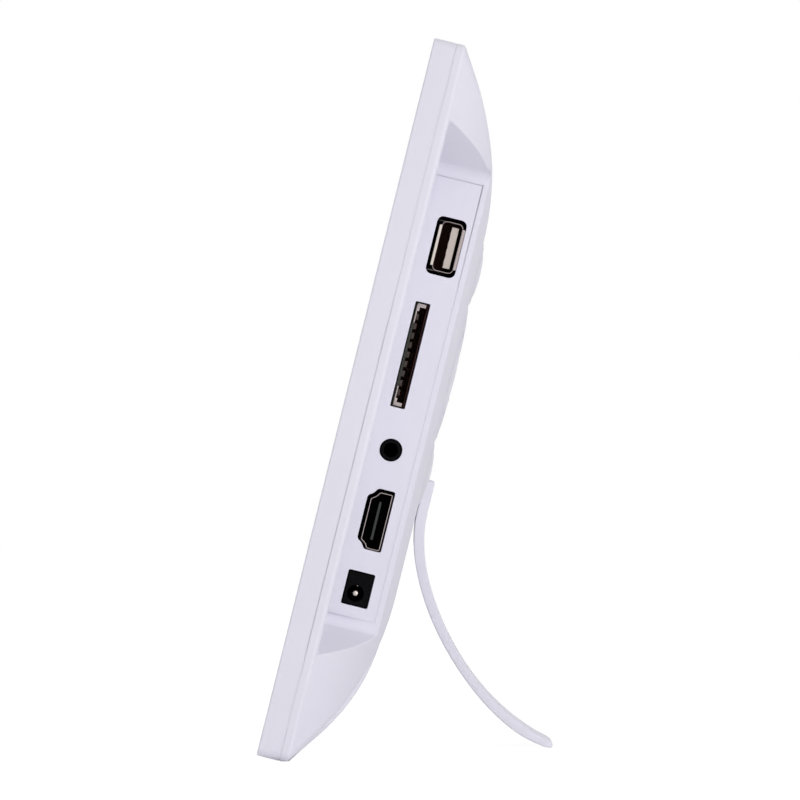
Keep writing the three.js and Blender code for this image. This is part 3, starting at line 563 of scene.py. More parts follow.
bezel = rounded_slab("bezel", 0, 0, BEZEL_DEPTH, CORNER)
edit(bezel)
choose("faces", lambda face: face.normal.y < -0.9)
bpy.ops.mesh.region_to_loop()
bpy.ops.mesh.bevel(offset=FACE_ROUND, segments=3, profile=0.5)
done()
carve(bezel, rounded_slab("hollow", BEZEL_WALL, BEZEL_FACE, BEZEL_DEPTH + 1, INNER_CORNER, 2))

# %% Bezel window
MODULE_BORDER = (6.15, 8.85)  # of the screen module, at its ends and above and below
WINDOW_MARGIN = 0.4
WINDOW_CORNER = 0.8
WINDOW_SLOPE = 1.2  # the window's edge slopes down to the screen
pan_low, pan_high = seat("screen_pan")
window_half = [
    pan_high.x - MODULE_BORDER[0] + WINDOW_MARGIN,
    (pan_high.z - pan_low.z) / 2 - MODULE_BORDER[1] + WINDOW_MARGIN,
]
window = box(
    "window",
    (-window_half[0], -1, MIDDLE - window_half[1]),
    (window_half[0], BEZEL_FACE + 1, MIDDLE + window_half[1]),
)
carve(bezel, bevel_along(window, 1, WINDOW_CORNER, 3))
edit(bezel)
choose("edges", lambda edge: (
    all(abs(vert.co.y) < NEAR for vert in edge.verts)
    and all(abs(vert.co.x) < window_half[0] + LOOSE for vert in edge.verts)
    and all(abs(vert.co.z - MIDDLE) < window_half[1] + LOOSE for vert in edge.verts)
))
bpy.ops.mesh.bevel(offset=WINDOW_SLOPE, segments=1, profile=0.5, clamp_overlap=False)
done()
print("bezel window", [round(2 * half, 1) for half in window_half])

# %% [markdown]
# The bosses line up with the screws of the two steel brackets behind the screen, so their places
# come from those screws.

# %% Bezel's rib, bosses and tongues
FIT = 0.3
BOSS_RADIUS = 2.5
BORE_RADIUS = 1.3
RIB = 1.2
RIB_DEPTH = 4.9
ROOT = BEZEL_FACE / 2  # ribs and bosses start inside the face
SNAP_ENDS = (-80, 0, 80)  # along the upper and lower rims
SNAP_CORNER = 11
SNAP_LENGTH = 10
SNAP_INSET = 4.3
TONGUE_THICKNESS = 1.2
TONGUE_END = 7.0
NUB = {"reach": 0.8, "overlap": 0.1, "length": 0.5}


def snap_blocks(name, outer, inner, front, back):
    """A small block at each snap; `outer` and `inner` are insets from the rim."""
    half = SNAP_LENGTH / 2
    blocks = []
    for x in SNAP_ENDS:
        blocks.append(box(name, (x - half, front, outer), (x + half, back, inner)))
        blocks.append(box(name, (x - half, front, HEIGHT - inner), (x + half, back, HEIGHT - outer)))
    for z in (SNAP_CORNER, HEIGHT - SNAP_CORNER):
        for side in (-1, 1):
            ends = sorted(side * (WIDTH / 2 - inset) for inset in (outer, inner))
            blocks.append(box(name, (ends[0], front, z - half), (ends[1], back, z + half)))
    return together(name, blocks)


def screen_frame(name, room, front, back):
    """A block with `room` to spare round the screen's pan."""
    low, high = (pan_low.x - room, front, pan_low.z - room), (pan_high.x + room, back, pan_high.z + room)
    return box(name, low, high)


rib = screen_frame("rib", FIT + RIB, ROOT, RIB_DEPTH)
carve(rib, screen_frame("rib_hollow", FIT, -1, RIB_DEPTH + 1))
weld(bezel, rib)

boss_places = [centre_of(f"bracket_screw_{i + 1}") for i in range(4)]
BOSS_END = pan_high.y
weld(bezel, together("bosses", [
    drum("boss", BOSS_RADIUS, place, ROOT, BOSS_END, sides=32) for place in boss_places
]))
carve(bezel, together("bores", [
    drum("bore", BORE_RADIUS, place, BEZEL_FACE, BOSS_END + 1, sides=24) for place in boss_places
]))
weld(bezel, snap_blocks("tongues", SNAP_INSET, SNAP_INSET + TONGUE_THICKNESS, ROOT, TONGUE_END))
weld(bezel, snap_blocks(
    "nubs", SNAP_INSET - NUB["reach"], SNAP_INSET + NUB["overlap"], TONGUE_END - NUB["length"], TONGUE_END,
))
print("bezel", len(bezel.data.polygons), "faces")

# %% [markdown]
# A low lip behind the bezel's rim closes the seam to the cover. The two mouldings are pulled
# together at the corners, so there the lip comes almost flush and the seam nearly disappears,
# while half-way up the side it stays open as a fine dark line.

# %% Seam lip
SEAM_GROOVE = 0.34  # how deep the seam would be with an even lip
SEAM_TIGHT = (  # heights, and how much shallower
    (0, 0.26), (4.5, 0.26), (6, 0.17), (8, 0.19), (10, 0.29), (19, 0.3), (30, 0.09), (108, 0.11), (135, 0.29),
    (166, 0.3), (170, 0.21), (174, 0.21), (177, 0.29), (HEIGHT, 0.29),
)
SEAM_TIGHT_ENDS = 0.26  # along the upper and lower rims
SEAM_TIGHT_CORNERS = 0.19  # further, each way, round the corners
LIP_WALL = BEZEL_WALL - 0.1


def push(wanted, way):
    """In edit mode, moves just the chosen vertices."""
    choose("verts", wanted)
    bpy.ops.transform.translate(value=way)


lip = rounded_slab("lip", SEAM_GROOVE, BEZEL_DEPTH - 1, COVER_FRONT - NEAR, CORNER - SEAM_GROOVE)
edit(lip)
for height, tight in SEAM_TIGHT[1:-1]:
    bpy.ops.mesh.select_all(action="SELECT")
    bpy.ops.mesh.bisect(plane_co=(0, 0, height), plane_no=(0, 0, 1))
for side in (-1, 1):
    for height, tight in SEAM_TIGHT:
        reach = LOOSE + (CORNER if height in (0, HEIGHT) else 0)
        push(lambda vert: (
            side * vert.co.x > WIDTH / 2 - SEAM_GROOVE - NEAR and abs(vert.co.z - height) < reach
        ), (side * tight, 0, 0))
for height, side in ((0, -1), (HEIGHT, 1)):
    push(lambda vert: abs(vert.co.z - height) < SEAM_GROOVE + NEAR, (0, 0, side * SEAM_TIGHT_ENDS))
    for end in (-1, 1):
        push(lambda vert: (
            SEAM_GROOVE + 2 * NEAR < WIDTH / 2 - end * vert.co.x < CORNER - NEAR
            and abs(vert.co.z - height) < CORNER - NEAR
        ), (end * SEAM_TIGHT_CORNERS, 0, side * SEAM_TIGHT_CORNERS))
done()
carve(lip, rounded_slab("lip_hollow", LIP_WALL, 0, BEZEL_DEPTH + 2, INNER_CORNER, 2))
weld(bezel, lip)
round_edges(bezel, 0.08, angle=50)
settle(bezel, "front_bezel", white_casing)

# %% [markdown]
# ## The rear cover's crowned shell
# From the rim the back rises at 35 degrees and then rounds off into a flat middle. All four sides
# share that profile, so the shell is one slab whose back face is extruded again and again, each
# time a little deeper and scaled a little smaller. The corners' roundness travels along with it
# and softens the ridges between the sides. Where the rim meets the slope the edge is rounded too.

# %% The cover's profile
SLOPE = math.radians(35)
CROWN_RADIUS = 70
CROWN_INSET = 45
CROWN_CENTRE = COVER_BACK - CROWN_RADIUS
RIM_ROUND = 1.0
RIM_STEPS = 5
WALL = 2.0


def on_crown(angle, skin=0):
    """Inset and depth of the round stretch at an angle, `skin` inside the outer face."""
    radius = CROWN_RADIUS - skin
    return CROWN_INSET - radius * math.sin(angle), CROWN_CENTRE + radius * math.cos(angle)


def slope_depth(inset, skin=0):
    """How deep the straight slope is at an inset from the rim."""
    start, depth = on_crown(SLOPE, skin)
    return depth + (inset - start) * math.tan(SLOPE)


def crown(skin, steps):
    """The round stretch of the profile, from the slope to the flat back."""
    return [on_crown(SLOPE * (1 - step / steps), skin) for step in range(steps + 1)]


def rim_turn(steps):
    """The rounded edge between the rim and the slope."""
    turn = math.pi / 2 - SLOPE
    start = slope_depth(0) - RIM_ROUND * math.tan(turn / 2)
    angles = [turn * step / steps for step in range(steps + 1)]
    return [(RIM_ROUND * (1 - math.cos(angle)), start + RIM_ROUND * math.sin(angle)) for angle in angles]


outer_profile = rim_turn(RIM_STEPS) + crown(0, 14)
inner_profile = [(WALL, slope_depth(WALL, WALL))] + crown(WALL, 8)
print("cover profile", [(round(a, 1), round(b, 1)) for a, b in outer_profile[:8]])


# %% Extrude the shell
def crowned(name, front, profile, corner, segments):
    """A slab whose back is extruded through the profile's insets and depths."""
    inset, depth = profile[0]
    shell = rounded_slab(name, inset, front, depth, corner, segments)
    edit(shell)
    for next_inset, next_depth in profile[1:]:
        choose("faces", lambda face: face.normal.y > 0.99 and abs(face.calc_center_median().y - depth) < 1e-3)
        bpy.ops.mesh.extrude_region_move(TRANSFORM_OT_translate={"value": (0, next_depth - depth, 0)})
        bpy.ops.transform.resize(
            value=(
                (WIDTH / 2 - next_inset) / (WIDTH / 2 - inset), 1,
                (HEIGHT / 2 - next_inset) / (HEIGHT / 2 - inset),
            ),
            center_override=(0, next_depth, MIDDLE),
        )
        inset, depth = next_inset, next_depth
    done()
    return shell


cover = crowned("cover", COVER_FRONT, outer_profile, CORNER, 6)
inner = crowned("inner", COVER_FRONT - 1, inner_profile, 0.8, 3)
print("shell", len(cover.data.polygons), "faces")

# %% [markdown]
# Towards its foot the back is a little fuller than that profile, and towards the top a little
# slimmer. Each ring of the shell is moved on those two sides, most of all half-way up the slope.

# %% Fuller foot, slimmer top
BELLIES = (  # whether a height belongs to the side, how far out, at which inset and how wide
    (lambda z, inset: z < inset + 0.5, 0.77, 19, 13),
    (lambda z, inset: z > HEIGHT - inset - 0.5, -0.3, 12, 14),
)
edit(cover)
for inset, depth in outer_profile[RIM_STEPS + 1:-3]:
    for belongs, fullness, fullest, spread in BELLIES:
        share = max(0.0, 1 - ((inset - fullest) / spread) ** 2)
        push(
            lambda vert: belongs(vert.co.z, inset) and abs(vert.co.y - depth) < CLOSE,
            (0, fullness * share, 0),
        )
done()

# %% [markdown]
# The lower rear edge is planed off level with the table, so that the casing stands on a narrow
# face. A bisect does that: it cuts along the table's plane, throws the outside away and closes
# the cut.

# %% Plane the standing face
FOOT_DEPTH = 6.2


def plane_off(piece):
    """Cuts away what is below the table."""
    edit(piece)
    bpy.ops.mesh.select_all(action="SELECT")
    bpy.ops.mesh.bisect(
        plane_co=(0, FOOT_DEPTH, 0), plane_no=(0, math.sin(LEAN), -math.cos(LEAN)),
        use_fill=True, clear_outer=True,
    )
    done()


plane_off(cover)

# %% [markdown]
# ## The port bay
# The sockets sit in a deep bay at the side: a port wall 28 mm in from the rim, two slanting cheeks
# and a ledge in front. The cutter for it is a block whose outer end is spread wider and whose two
# inner corners are rounded. The casing's hollow keeps clear of it by one wall.

# %% Bay cutter
MOUTH_RECESS = 0.5
PORT_WALL = seat("data_shell")[1].x + MOUTH_RECESS
BAY_FLOOR = 8.5
BAY_CORNER = 2.0
BAY_BELOW = 5.8  # from the power socket to the bay's lower end
BAY_ABOVE = 12.8  # from the data socket to its upper end
bay_low = seat("power_socket")[0].z - BAY_BELOW
bay_high = seat("data_shell")[1].z + BAY_ABOVE
CHEEK_SPREAD = {-1: 8.2, 1: 10.9}  # of the lower and the upper cheek, at the rim
BEYOND = 6  # how far the cutter reaches past the rim
FLOOR_DRAFT = 0.35  # the ledge in front of the sockets leans this far in at the port wall
FLOOR_WALL = 2.2  # under the ledge


def bay_block(name, skin, floor):
    """The bay's room, `skin` larger all round, from `floor` to behind the cover."""
    reach = WIDTH / 2 + BEYOND
    share = (reach - PORT_WALL) / (WIDTH / 2 - PORT_WALL)
    room = box(
        name, (PORT_WALL - skin, floor, bay_low - skin), (reach, COVER_BACK + 2, bay_high + skin),
    )
    edit(room)
    for outward, spread in CHEEK_SPREAD.items():
        push(lambda vert: (
            vert.co.x > WIDTH / 2 and outward * (vert.co.z - (bay_low + bay_high) / 2) > 0
        ), (0, 0, outward * spread * share))
    push(
        lambda vert: vert.co.x < PORT_WALL + LOOSE and vert.co.y < floor + LOOSE,
        (0, -FLOOR_DRAFT, 0),
    )
    done()
    return room


carve(inner, bay_block("room", WALL, BAY_FLOOR - FLOOR_WALL))
carve(cover, inner)
carve(cover, bevel_along(
    bay_block("bay", 0, BAY_FLOOR), 1, BAY_CORNER, 6,
    wanted=lambda edge: middle_of(edge).x < PORT_WALL + LOOSE,
))
print("bay from", round(bay_low, 2), "to", round(bay_high, 2), "wall at", round(PORT_WALL, 2))

# %% [markdown]
# A shallow panel is set into the port wall round all the sockets, and along two of its sides a
# fine gap shows. Then come the openings: a rounded one for the data socket, a slot for cards, a
# round hole for the headphones, one with two cut corners for the video socket and a plain one
# for power.

# %% Panel
PANEL = {"recess": 0.15, "front": 8.0, "back": 20.3, "above": 2.7, "below": 2.6}
UPPER_GAP = {"start": 0.8, "half": 0.09, "depth": 0.5}
BACK_GAP = {"front": 0.16, "back": 0.1, "above": 0.12, "depth": 0.7, "length": 30, "fade": 0.45}
panel_top = bay_high - PANEL["above"]
carve(cover, box(
    "panel", (PORT_WALL - PANEL["recess"], PANEL["front"], bay_low + PANEL["below"]),
    (PORT_WALL + 1, PANEL["back"], panel_top),
))
gap_start = PANEL["front"] + UPPER_GAP["start"]
across = box(
    "gap", (PORT_WALL - UPPER_GAP["depth"], gap_start, panel_top - UPPER_GAP["half"]),
    (PORT_WALL + 1, PANEL["back"], panel_top + UPPER_GAP["half"]),
)
down = box(
    "gap", (PORT_WALL - BACK_GAP["depth"], PANEL["back"] - BACK_GAP["front"], panel_top - BACK_GAP["length"]),
    (PORT_WALL + 1, PANEL["back"] + BACK_GAP["back"], panel_top + BACK_GAP["above"]),
)
edit(down)
push(
    lambda vert: vert.co.z < panel_top - BACK_GAP["length"] / 2 and vert.co.x < PORT_WALL,
    (BACK_GAP["fade"], 0, 0),
)
done()
carve(cover, across)
carve(cover, down)

# %% Port openings
SOCKET_DEPTHS = {
    "data_shell": 15.1, "card_shell": 12.9, "audio_socket": 13.9, "video_shell": 14.3, "power_socket": 14.3,
}
DATA, CARD, AUDIO, VIDEO, POWER = (
    Vector((PORT_WALL, depth, centre_of(node)[1])) for node, depth in SOCKET_DEPTHS.items()
)
PORT_CUT = (PORT_WALL - 4, PORT_WALL + 1)
AUDIO_RADIUS = 2.8
AUDIO_CUT = (PORT_WALL - 3.5, PORT_WALL + 1.5)


def cut_corners(name, centre, deep, tall, corner, start, end, soft=0.0):
    """A block along x, with its two corners towards the screen cut off in a shallow step."""
    plug = block(name, centre, deep, tall, start, end)
    bevel_along(plug, 0, corner, 2, profile=0.15, wanted=lambda edge: middle_of(edge).y < centre.y)
    return bevel_along(plug, 0, soft, 3) if soft else plug


def port_hole(centre, deep, tall, corner, segments):
    """A rounded opening through the port wall."""
    return bevel_along(block("port_hole", centre, deep, tall, *PORT_CUT), 0, corner, segments)


carve(cover, port_hole(DATA, 7.4, 14.5, 1.5, 4))
carve(cover, port_hole(CARD, 3.7, 26.6, 0.3, 2))
carve(cover, drum("audio_hole", AUDIO_RADIUS, AUDIO.yz, *AUDIO_CUT, "x"))
carve(cover, cut_corners("video_hole", VIDEO, 6.5, 15.3, 2.2, *PORT_CUT, soft=0.5))
carve(cover, port_hole(POWER, 6.7, 8.6, 0.4, 3))
print("openings cut at heights", [round(p.z, 1) for p in (DATA, CARD, AUDIO, VIDEO, POWER)])

# %% [markdown]
# ## Openings in the back
# Seven keys come through the back: two round ones and a round pad in five pieces. Each hole is a
# little larger than its key. Each speaker sounds through six slots, shorter towards the edge of a
# round field, and the leg's two hooks go into keyhole slots lower down.

# %% Key holes
KEY_GAP = 0.3
PAD_RADIUS = 15.35
PAD_RIB = 1.2
ROUND_RADIUS = 6.0
OK_RADIUS = 5.5
PAD = centre_of("ok_key")
ARROW_INNER = OK_RADIUS + 2 * KEY_GAP + PAD_RIB
THROUGH = (COVER_BACK - 2 * WALL, COVER_BACK + 2)
COLLAR = {"height": 0.5, "foot": 2.6, "top": 0.6}  # a low slope that leads up to each key
ROUND_PLACES = [(centre_of("menu_key"), ROUND_RADIUS), (centre_of("exit_key"), ROUND_RADIUS)]

for (x, z), radius in [*ROUND_PLACES, (PAD, PAD_RADIUS)]:
    bpy.ops.object.select_all(action="DESELECT")
    bpy.ops.mesh.primitive_cone_add(
        vertices=96, radius1=radius + COLLAR["foot"], radius2=radius + COLLAR["top"],
        depth=COLLAR["height"] + 2 * NEAR, location=(x, COVER_BACK + COLLAR["height"] / 2 - NEAR, z),
        rotation=TURNS["y"],
    )
    weld(cover, named("collar"))

for place, radius in [*ROUND_PLACES, (PAD, OK_RADIUS)]:
    carve(cover, drum("key_hole", radius + KEY_GAP, place, *THROUGH))


BAR_REACH = 30


def cross(name, half, front, back):
    """Two bars that cross over the pad's middle, `half` wide to each side."""
    bars = []
    for turn in (45, -45):
        bar = box(name, (-BAR_REACH, front, -half), (BAR_REACH, back, half))
        turned = Matrix.Rotation(math.radians(turn), 4, "Y")
        bar.matrix_world = Matrix.Translation((PAD[0], 0, PAD[1])) @ turned
        only(bar)
        apply_place()
        bars.append(bar)
    return bars


arrow_holes = drum("arrow_holes", PAD_RADIUS + KEY_GAP, PAD, *THROUGH, sides=96)
carve(arrow_holes, drum("ring_hole", ARROW_INNER - KEY_GAP, PAD, THROUGH[0] - 1, THROUGH[1] + 1, sides=64))
for bar in cross("rib_bar", PAD_RIB / 2, THROUGH[0] - 1, THROUGH[1] + 1):
    carve(arrow_holes, bar)
carve(cover, arrow_holes)

# %% Speaker slots and hook slots
SLOT_CUT = (COVER_BACK - 2 * WALL, COVER_BACK + 1)
GRILLE = {"slots": 6, "pitch": 3.2, "width": 1.5, "radius": 10}
slot_half = GRILLE["width"] / 2
for name in ("left_speaker", "right_speaker"):
    x, z = centre_of(name)
    slots = []
    for i in range(GRILLE["slots"]):
        rise = (i - (GRILLE["slots"] - 1) / 2) * GRILLE["pitch"]
        half = math.sqrt(GRILLE["radius"] ** 2 - rise**2)
        low = (x - half, SLOT_CUT[0], z + rise - slot_half)
        high = (x + half, SLOT_CUT[1], z + rise + slot_half)
        slots.append(bevel_along(box("slot", low, high), 1, slot_half - 2 * NEAR, 4))
    carve(cover, together("slots", slots))

HOOK = {"side": 11, "neck": 4, "head": 8, "height": 4, "drop": 2.5, "travel": 10}
leg_high = seat("stand_leg")[1]
hook_top = leg_high.z - HOOK["drop"]
hook_low = hook_top - HOOK["height"]
for side in (-HOOK["side"], HOOK["side"]):
    for half, low, high in (
        (HOOK["neck"] / 2 + FIT, hook_low - HOOK["travel"], hook_top + FIT),
        (HOOK["head"] / 2 + FIT, hook_low - HOOK["travel"] - FIT, hook_top - HOOK["travel"] + FIT),
    ):
        carve(cover, box("hook_slot", (side - half, SLOT_CUT[0], low), (side + half, SLOT_CUT[1], high)))
print("back openings cut,", len(cover.data.polygons), "faces")

# %% Snap catches
CATCH = (COVER_FRONT + 0.1, COVER_FRONT + 0.6)
weld(cover, snap_blocks("catches", WALL / 2, SNAP_INSET - FIT, *CATCH))

# %% [markdown]
# ## Rounding the cover's edges
# Real mouldings have no knife edges, and the thin line of light along an edge is what makes a
# plastic part look solid. The edge where the port wall turns into the back is rounded most, the
# bay's other edges less and the small openings just enough to catch light. Bevel weights let one
# modifier do all of them.

# %% Weigh and bevel the edges
BROW = 1.2
EDGE_WIDTHS = {"brow": BROW, "bay": 0.35, "foot": 0.35, "rim": 0.08, "panel": 0.06, "hole": 0.16}
PANEL_FACE = PORT_WALL - PANEL["recess"]
BROW_DEPTH = 20.5  # the edge of the port wall lies deeper than this
FOOT_HEIGHT = 1.5  # the edges of the standing face lie lower than this, and less deep than this:
FOOT_REACH = 9


def sharp(edge, degrees=28):
    return len(edge.link_faces) == 2 and edge.calc_face_angle(0) > math.radians(degrees)


def near(value, places, reach=0.02):
    return any(abs(value - place) < reach for place in places)


def kind_of(edge):
    """Which of the widths an edge gets, by where it lies."""
    centre = middle_of(edge)
    if not sharp(edge):
        return None
    if centre.y < COVER_FRONT + CLOSE:
        return "rim"
    if centre.y < CATCH[1] + CLOSE:
        return None
    if centre.y > BROW_DEPTH and all(near(vert.co.x, [PORT_WALL], CLOSE) for vert in edge.verts):
        return "brow"
    at_panel = near(centre.x, [PANEL_FACE], 0.25) and centre.x > PORT_WALL - 2 * PANEL["recess"]
    if at_panel and (
        near(centre.y, (PANEL["front"], PANEL["back"]))
        or near(centre.z, (bay_low + PANEL["below"], panel_top))
    ):
        return "panel"
    if centre.x > PORT_WALL + CLOSE:
        return "bay"
    if centre.z < FOOT_HEIGHT and centre.y < FOOT_REACH:
        return "foot"
    if near(centre.x, [PANEL_FACE], CLOSE) or centre.y > COVER_BACK - CLOSE:
        return "hole"
    return None


edit(cover)
counts = {}
for kind, width in EDGE_WIDTHS.items():
    counts[kind] = choose("edges", lambda edge: kind_of(edge) == kind)
    bpy.ops.transform.edge_bevelweight(value=width / BROW)
done()
print("edges by kind", counts)

only(cover)
modifier = cover.modifiers.new("edges", "BEVEL")
modifier.limit_method = "WEIGHT"
modifier.width = BROW
modifier.segments = 4
modifier.use_clamp_overlap = False
bpy.ops.object.modifier_apply(modifier="edges")

# %% Posts inside the cover
SCREW_LENGTH = 5
POST_BORE = 3.4  # how deep a screw's bore is
POST_END = COVER_BACK - WALL + WALL / 4
SCREWS = (("board_screw", 4, 1.6), ("key_screw", 2, 1.0))  # how many, and their board's thickness
posts, post_bores = [], []
for stem, count, board in SCREWS:
    for i in range(count):
        screw = f"{stem}_{i + 1}"
        head = seat(screw)[1].y
        posts.append(drum(
            "post", BOSS_RADIUS, centre_of(screw), head - SCREW_LENGTH + board + FIT, POST_END, sides=32,
        ))
        post_bores.append(drum("bore", BORE_RADIUS, centre_of(screw), head - POST_BORE, head, sides=24))
weld(cover, together("posts", posts))
carve(cover, together("post_bores", post_bores))
settle(cover, "rear_cover", white_casing)

# %% [markdown]
# ## The leg
# The leg is one flat strip of plastic, bent in a single sweep from the casing's back to the table.
# A curve is the natural start: it is given the sweep's points, widened into a strip, made a mesh
# and then given its thickness by Solidify. A vertex group thins the strip towards its foot.

# %% Leg strip
LEG = {"thickness": 2.68, "bend": 66, "upper_pull": 19.8, "lower_pull": 20.4, "angle": 8.4, "tip": 2.0}
LEG_FOOT_DEPTH = 69.7
FOOT_RISE = 1.18  # from the table to the strip's middle
THICKNESS_SHARES = ((-0.3, 0.42), (0, 0.72), (1.6, 0.95), (12, 0.84), (40, 1.0))  # by height over the foot
half_thick = LEG["thickness"] / 2
plate = COVER_BACK + FIT + half_thick
heading = Vector((0, math.cos(math.radians(LEG["angle"])), -math.sin(math.radians(LEG["angle"]))))
table = (LEG_FOOT_DEPTH - FOOT_DEPTH) * math.tan(LEAN)
foot = Vector((0, LEG_FOOT_DEPTH, table + FOOT_RISE / math.cos(LEAN)))
tip = foot + heading * LEG["tip"]
leg_top = leg_high.z + 0.2
leg_points = [  # places, and the handles before and after them
    ((plate, leg_top), (plate, leg_top + 1), (plate, leg_top - 1)),
    ((plate, LEG["bend"]), (plate, LEG["bend"] + 1), (plate, LEG["bend"] - LEG["upper_pull"])),
    (foot.yz, (foot - heading * LEG["lower_pull"]).yz, (foot + heading * 0.3).yz),
    (tip.yz, (foot + heading * LEG["tip"] / 2).yz, (foot + heading * 2).yz),
]
bpy.ops.object.select_all(action="DESELECT")
bpy.ops.curve.primitive_bezier_curve_add()
strip = bpy.context.object
strip.data.dimensions = "2D"
strip.data.fill_mode = "NONE"
strip.data.resolution_u = 24
strip.data.extrude = leg_high.x
spline = strip.data.splines[0]
spline.bezier_points.add(len(leg_points) - 2)
for point, (place, before, after) in zip(spline.bezier_points, leg_points):
    point.handle_left_type = point.handle_right_type = "FREE"
    point.co, point.handle_left, point.handle_right = (Vector((*at, 0)) for at in (place, before, after))
strip.rotation_euler = (math.pi / 2, 0, math.pi / 2)
bpy.ops.object.convert(target="MESH")
leg = named("leg")
edit(leg)
bpy.ops.mesh.select_all(action="SELECT")
bpy.ops.mesh.remove_doubles(threshold=0.001)
choose("edges", lambda edge: runs_along(edge, 0) and (
    LEG["bend"] + 1 < middle_of(edge).z < leg_top - NEAR
    or -LEG["tip"] + NEAR < (middle_of(edge) - tip).dot(heading) < -NEAR
))
bpy.ops.mesh.dissolve_edges()
done()
print("leg strip", len(leg.data.polygons), "faces, from height", round(leg_top, 1), "to", round(tip.z, 1))


# %% Leg's thickness
def share_at(rise):
    """The strip's thickness at a height over the foot, as a share of the full thickness."""
    share = THICKNESS_SHARES[0][1]
    for (low, thin), (high, thick) in zip(THICKNESS_SHARES, THICKNESS_SHARES[1:]):
        if rise > low:
            share = thin + (thick - thin) * min(1.0, (rise - low) / (high - low))
    return share


weights = leg.vertex_groups.new(name="thickness")
for vert in leg.data.vertices:
    weights.add([vert.index], share_at(vert.co.z - foot.z), "REPLACE")
solid = leg.modifiers.new("thickness", "SOLIDIFY")
solid.vertex_group = "thickness"
solid.thickness_vertex_group = 0
solid.thickness = LEG["thickness"]
solid.offset = 0
bpy.ops.object.modifier_apply(modifier="thickness")
edit(leg)
bpy.ops.mesh.select_all(action="SELECT")
bpy.ops.mesh.normals_make_consistent(inside=False)
done()
print("leg thickness at the foot", round(LEG["thickness"] * share_at(0), 2))

# %% Leg's hooks, rounded edges and foot
HEAD_THICKNESS = 1.6
TOP_ROUND = 0.5
SIDE_ROUNDS = {True: 0.45, False: 0.3}  # of the edges towards the casing, and of the others
head_back = COVER_BACK - WALL - FIT
for side in (-HOOK["side"], HOOK["side"]):
    for half, front, back in (
        (HOOK["head"] / 2, head_back - HEAD_THICKNESS, head_back),
        (HOOK["neck"] / 2, head_back - HEAD_THICKNESS / 2, plate),
    ):
        weld(leg, box("hook", (side - half, front, hook_low), (side + half, back, hook_top)))


def round_chosen(wanted, width, segments):
    """In edit mode, bevels just the chosen edges."""
    choose("edges", wanted)
    bpy.ops.mesh.bevel(offset=width, segments=segments, profile=0.5, clamp_overlap=False)


edit(leg)
round_chosen(lambda edge: (
    runs_along(edge, 0) and all((vert.co - tip).dot(heading) > -2 * NEAR for vert in edge.verts)
), half_thick * THICKNESS_SHARES[0][1] * 0.9, 5)
round_chosen(lambda edge: runs_along(edge, 0) and middle_of(edge).z > leg_top - NEAR, TOP_ROUND, 3)
for inner, width in SIDE_ROUNDS.items():
    round_chosen(lambda edge: (
        sharp(edge) and all(near(abs(vert.co.x), [leg_high.x], NEAR) for vert in edge.verts)
        and inner == any(face.normal.y < -0.1 for face in edge.link_faces)
    ), width, 2)
done()
plane_off(leg)
settle(leg, "stand_leg", white_leg)

# %% [markdown]
# ## The keys
# Each cap has a lip that keeps it in its hole, straight sides, and a rounded and faintly domed
# top. The round ones are a drum whose top is inset and raised step by step.


# %% Round caps
KEY_RISE = 1.2  # how far the caps' crowns stand above the back
CAP_BASE = 0.9
DOME_STEPS = 5


def round_cap(name, centre, radius, front, lip, edge_round, dome, sides=64):
    """A round cap: lip, stem and a domed top."""
    cap = drum(name + "_cap", radius + lip, centre, front, front + CAP_BASE, sides=sides)
    edit(cap)

    def top():
        choose("faces", lambda face: face.normal.y > 0.9 and len(face.verts) > 8)

    top()
    bpy.ops.mesh.inset(thickness=lip, depth=0)
    rise = COVER_BACK + KEY_RISE - dome - front - CAP_BASE
    bpy.ops.mesh.extrude_region_move(TRANSFORM_OT_translate={"value": (0, rise, 0)})
    bpy.ops.mesh.region_to_loop()
    bpy.ops.mesh.bevel(offset=edge_round, segments=4, profile=0.5)
    for step in range(DOME_STEPS):
        rise = dome * (((step + 1) / DOME_STEPS) ** 0.5 - (step / DOME_STEPS) ** 0.5)
        top()
        bpy.ops.mesh.inset(thickness=(radius - edge_round) / (DOME_STEPS + 1), depth=0)
        bpy.ops.transform.translate(value=(0, rise, 0))
    done()
    return cap


KEY_LIP = seat("menu_key")[1].x - centre_of("menu_key")[0] - ROUND_RADIUS
ROUND_KEYS = (  # radius, rounding of the edge and height of the dome
    ("menu_key", ROUND_RADIUS, 0.5, 0.6),
    ("exit_key", ROUND_RADIUS, 0.5, 0.6),
    ("ok_key", OK_RADIUS, 0.4, 0.2),
)
for name, radius, edge_round, dome in ROUND_KEYS:
    cap = round_cap(name, centre_of(name), radius, seat(name)[0].y, KEY_LIP, edge_round, dome)
    settle(cap, name, white_keys, smooth=30)

# %% [markdown]
# The four arrow keys are quarters of one large round cap. A hole and a cross of bars are cut
# through it, narrower near its front so that a lip stays there, and each quarter goes to its key.

# %% Arrow caps
ARROW_LIP = 0.7
ARROW_LIP_HEIGHT = 0.8
BAR_LIP = 0.2  # how much less the cross cuts away at the lip
cap_low, cap_high = seat("right_key")
cut_end = cap_high.y + 3
arrows = round_cap("pad", PAD, PAD_RADIUS, cap_low.y, ARROW_LIP, 0.4, 0.65, sides=124)
for front, lip, bar_lip in ((cap_low.y - 1, ARROW_LIP, BAR_LIP), (cap_low.y + ARROW_LIP_HEIGHT, 0, 0)):
    carve(arrows, drum("pad_hole", ARROW_INNER - lip, PAD, front, cut_end, sides=92))
    for bar in cross("gap_bar", PAD_RIB / 2 + KEY_GAP - bar_lip, front, cut_end):
        carve(arrows, bar)
edit(arrows)
bpy.ops.mesh.select_all(action="SELECT")
bpy.ops.mesh.separate(type="LOOSE")
done()
quarters = list(bpy.context.selected_objects)
print("arrow quarters", len(quarters))


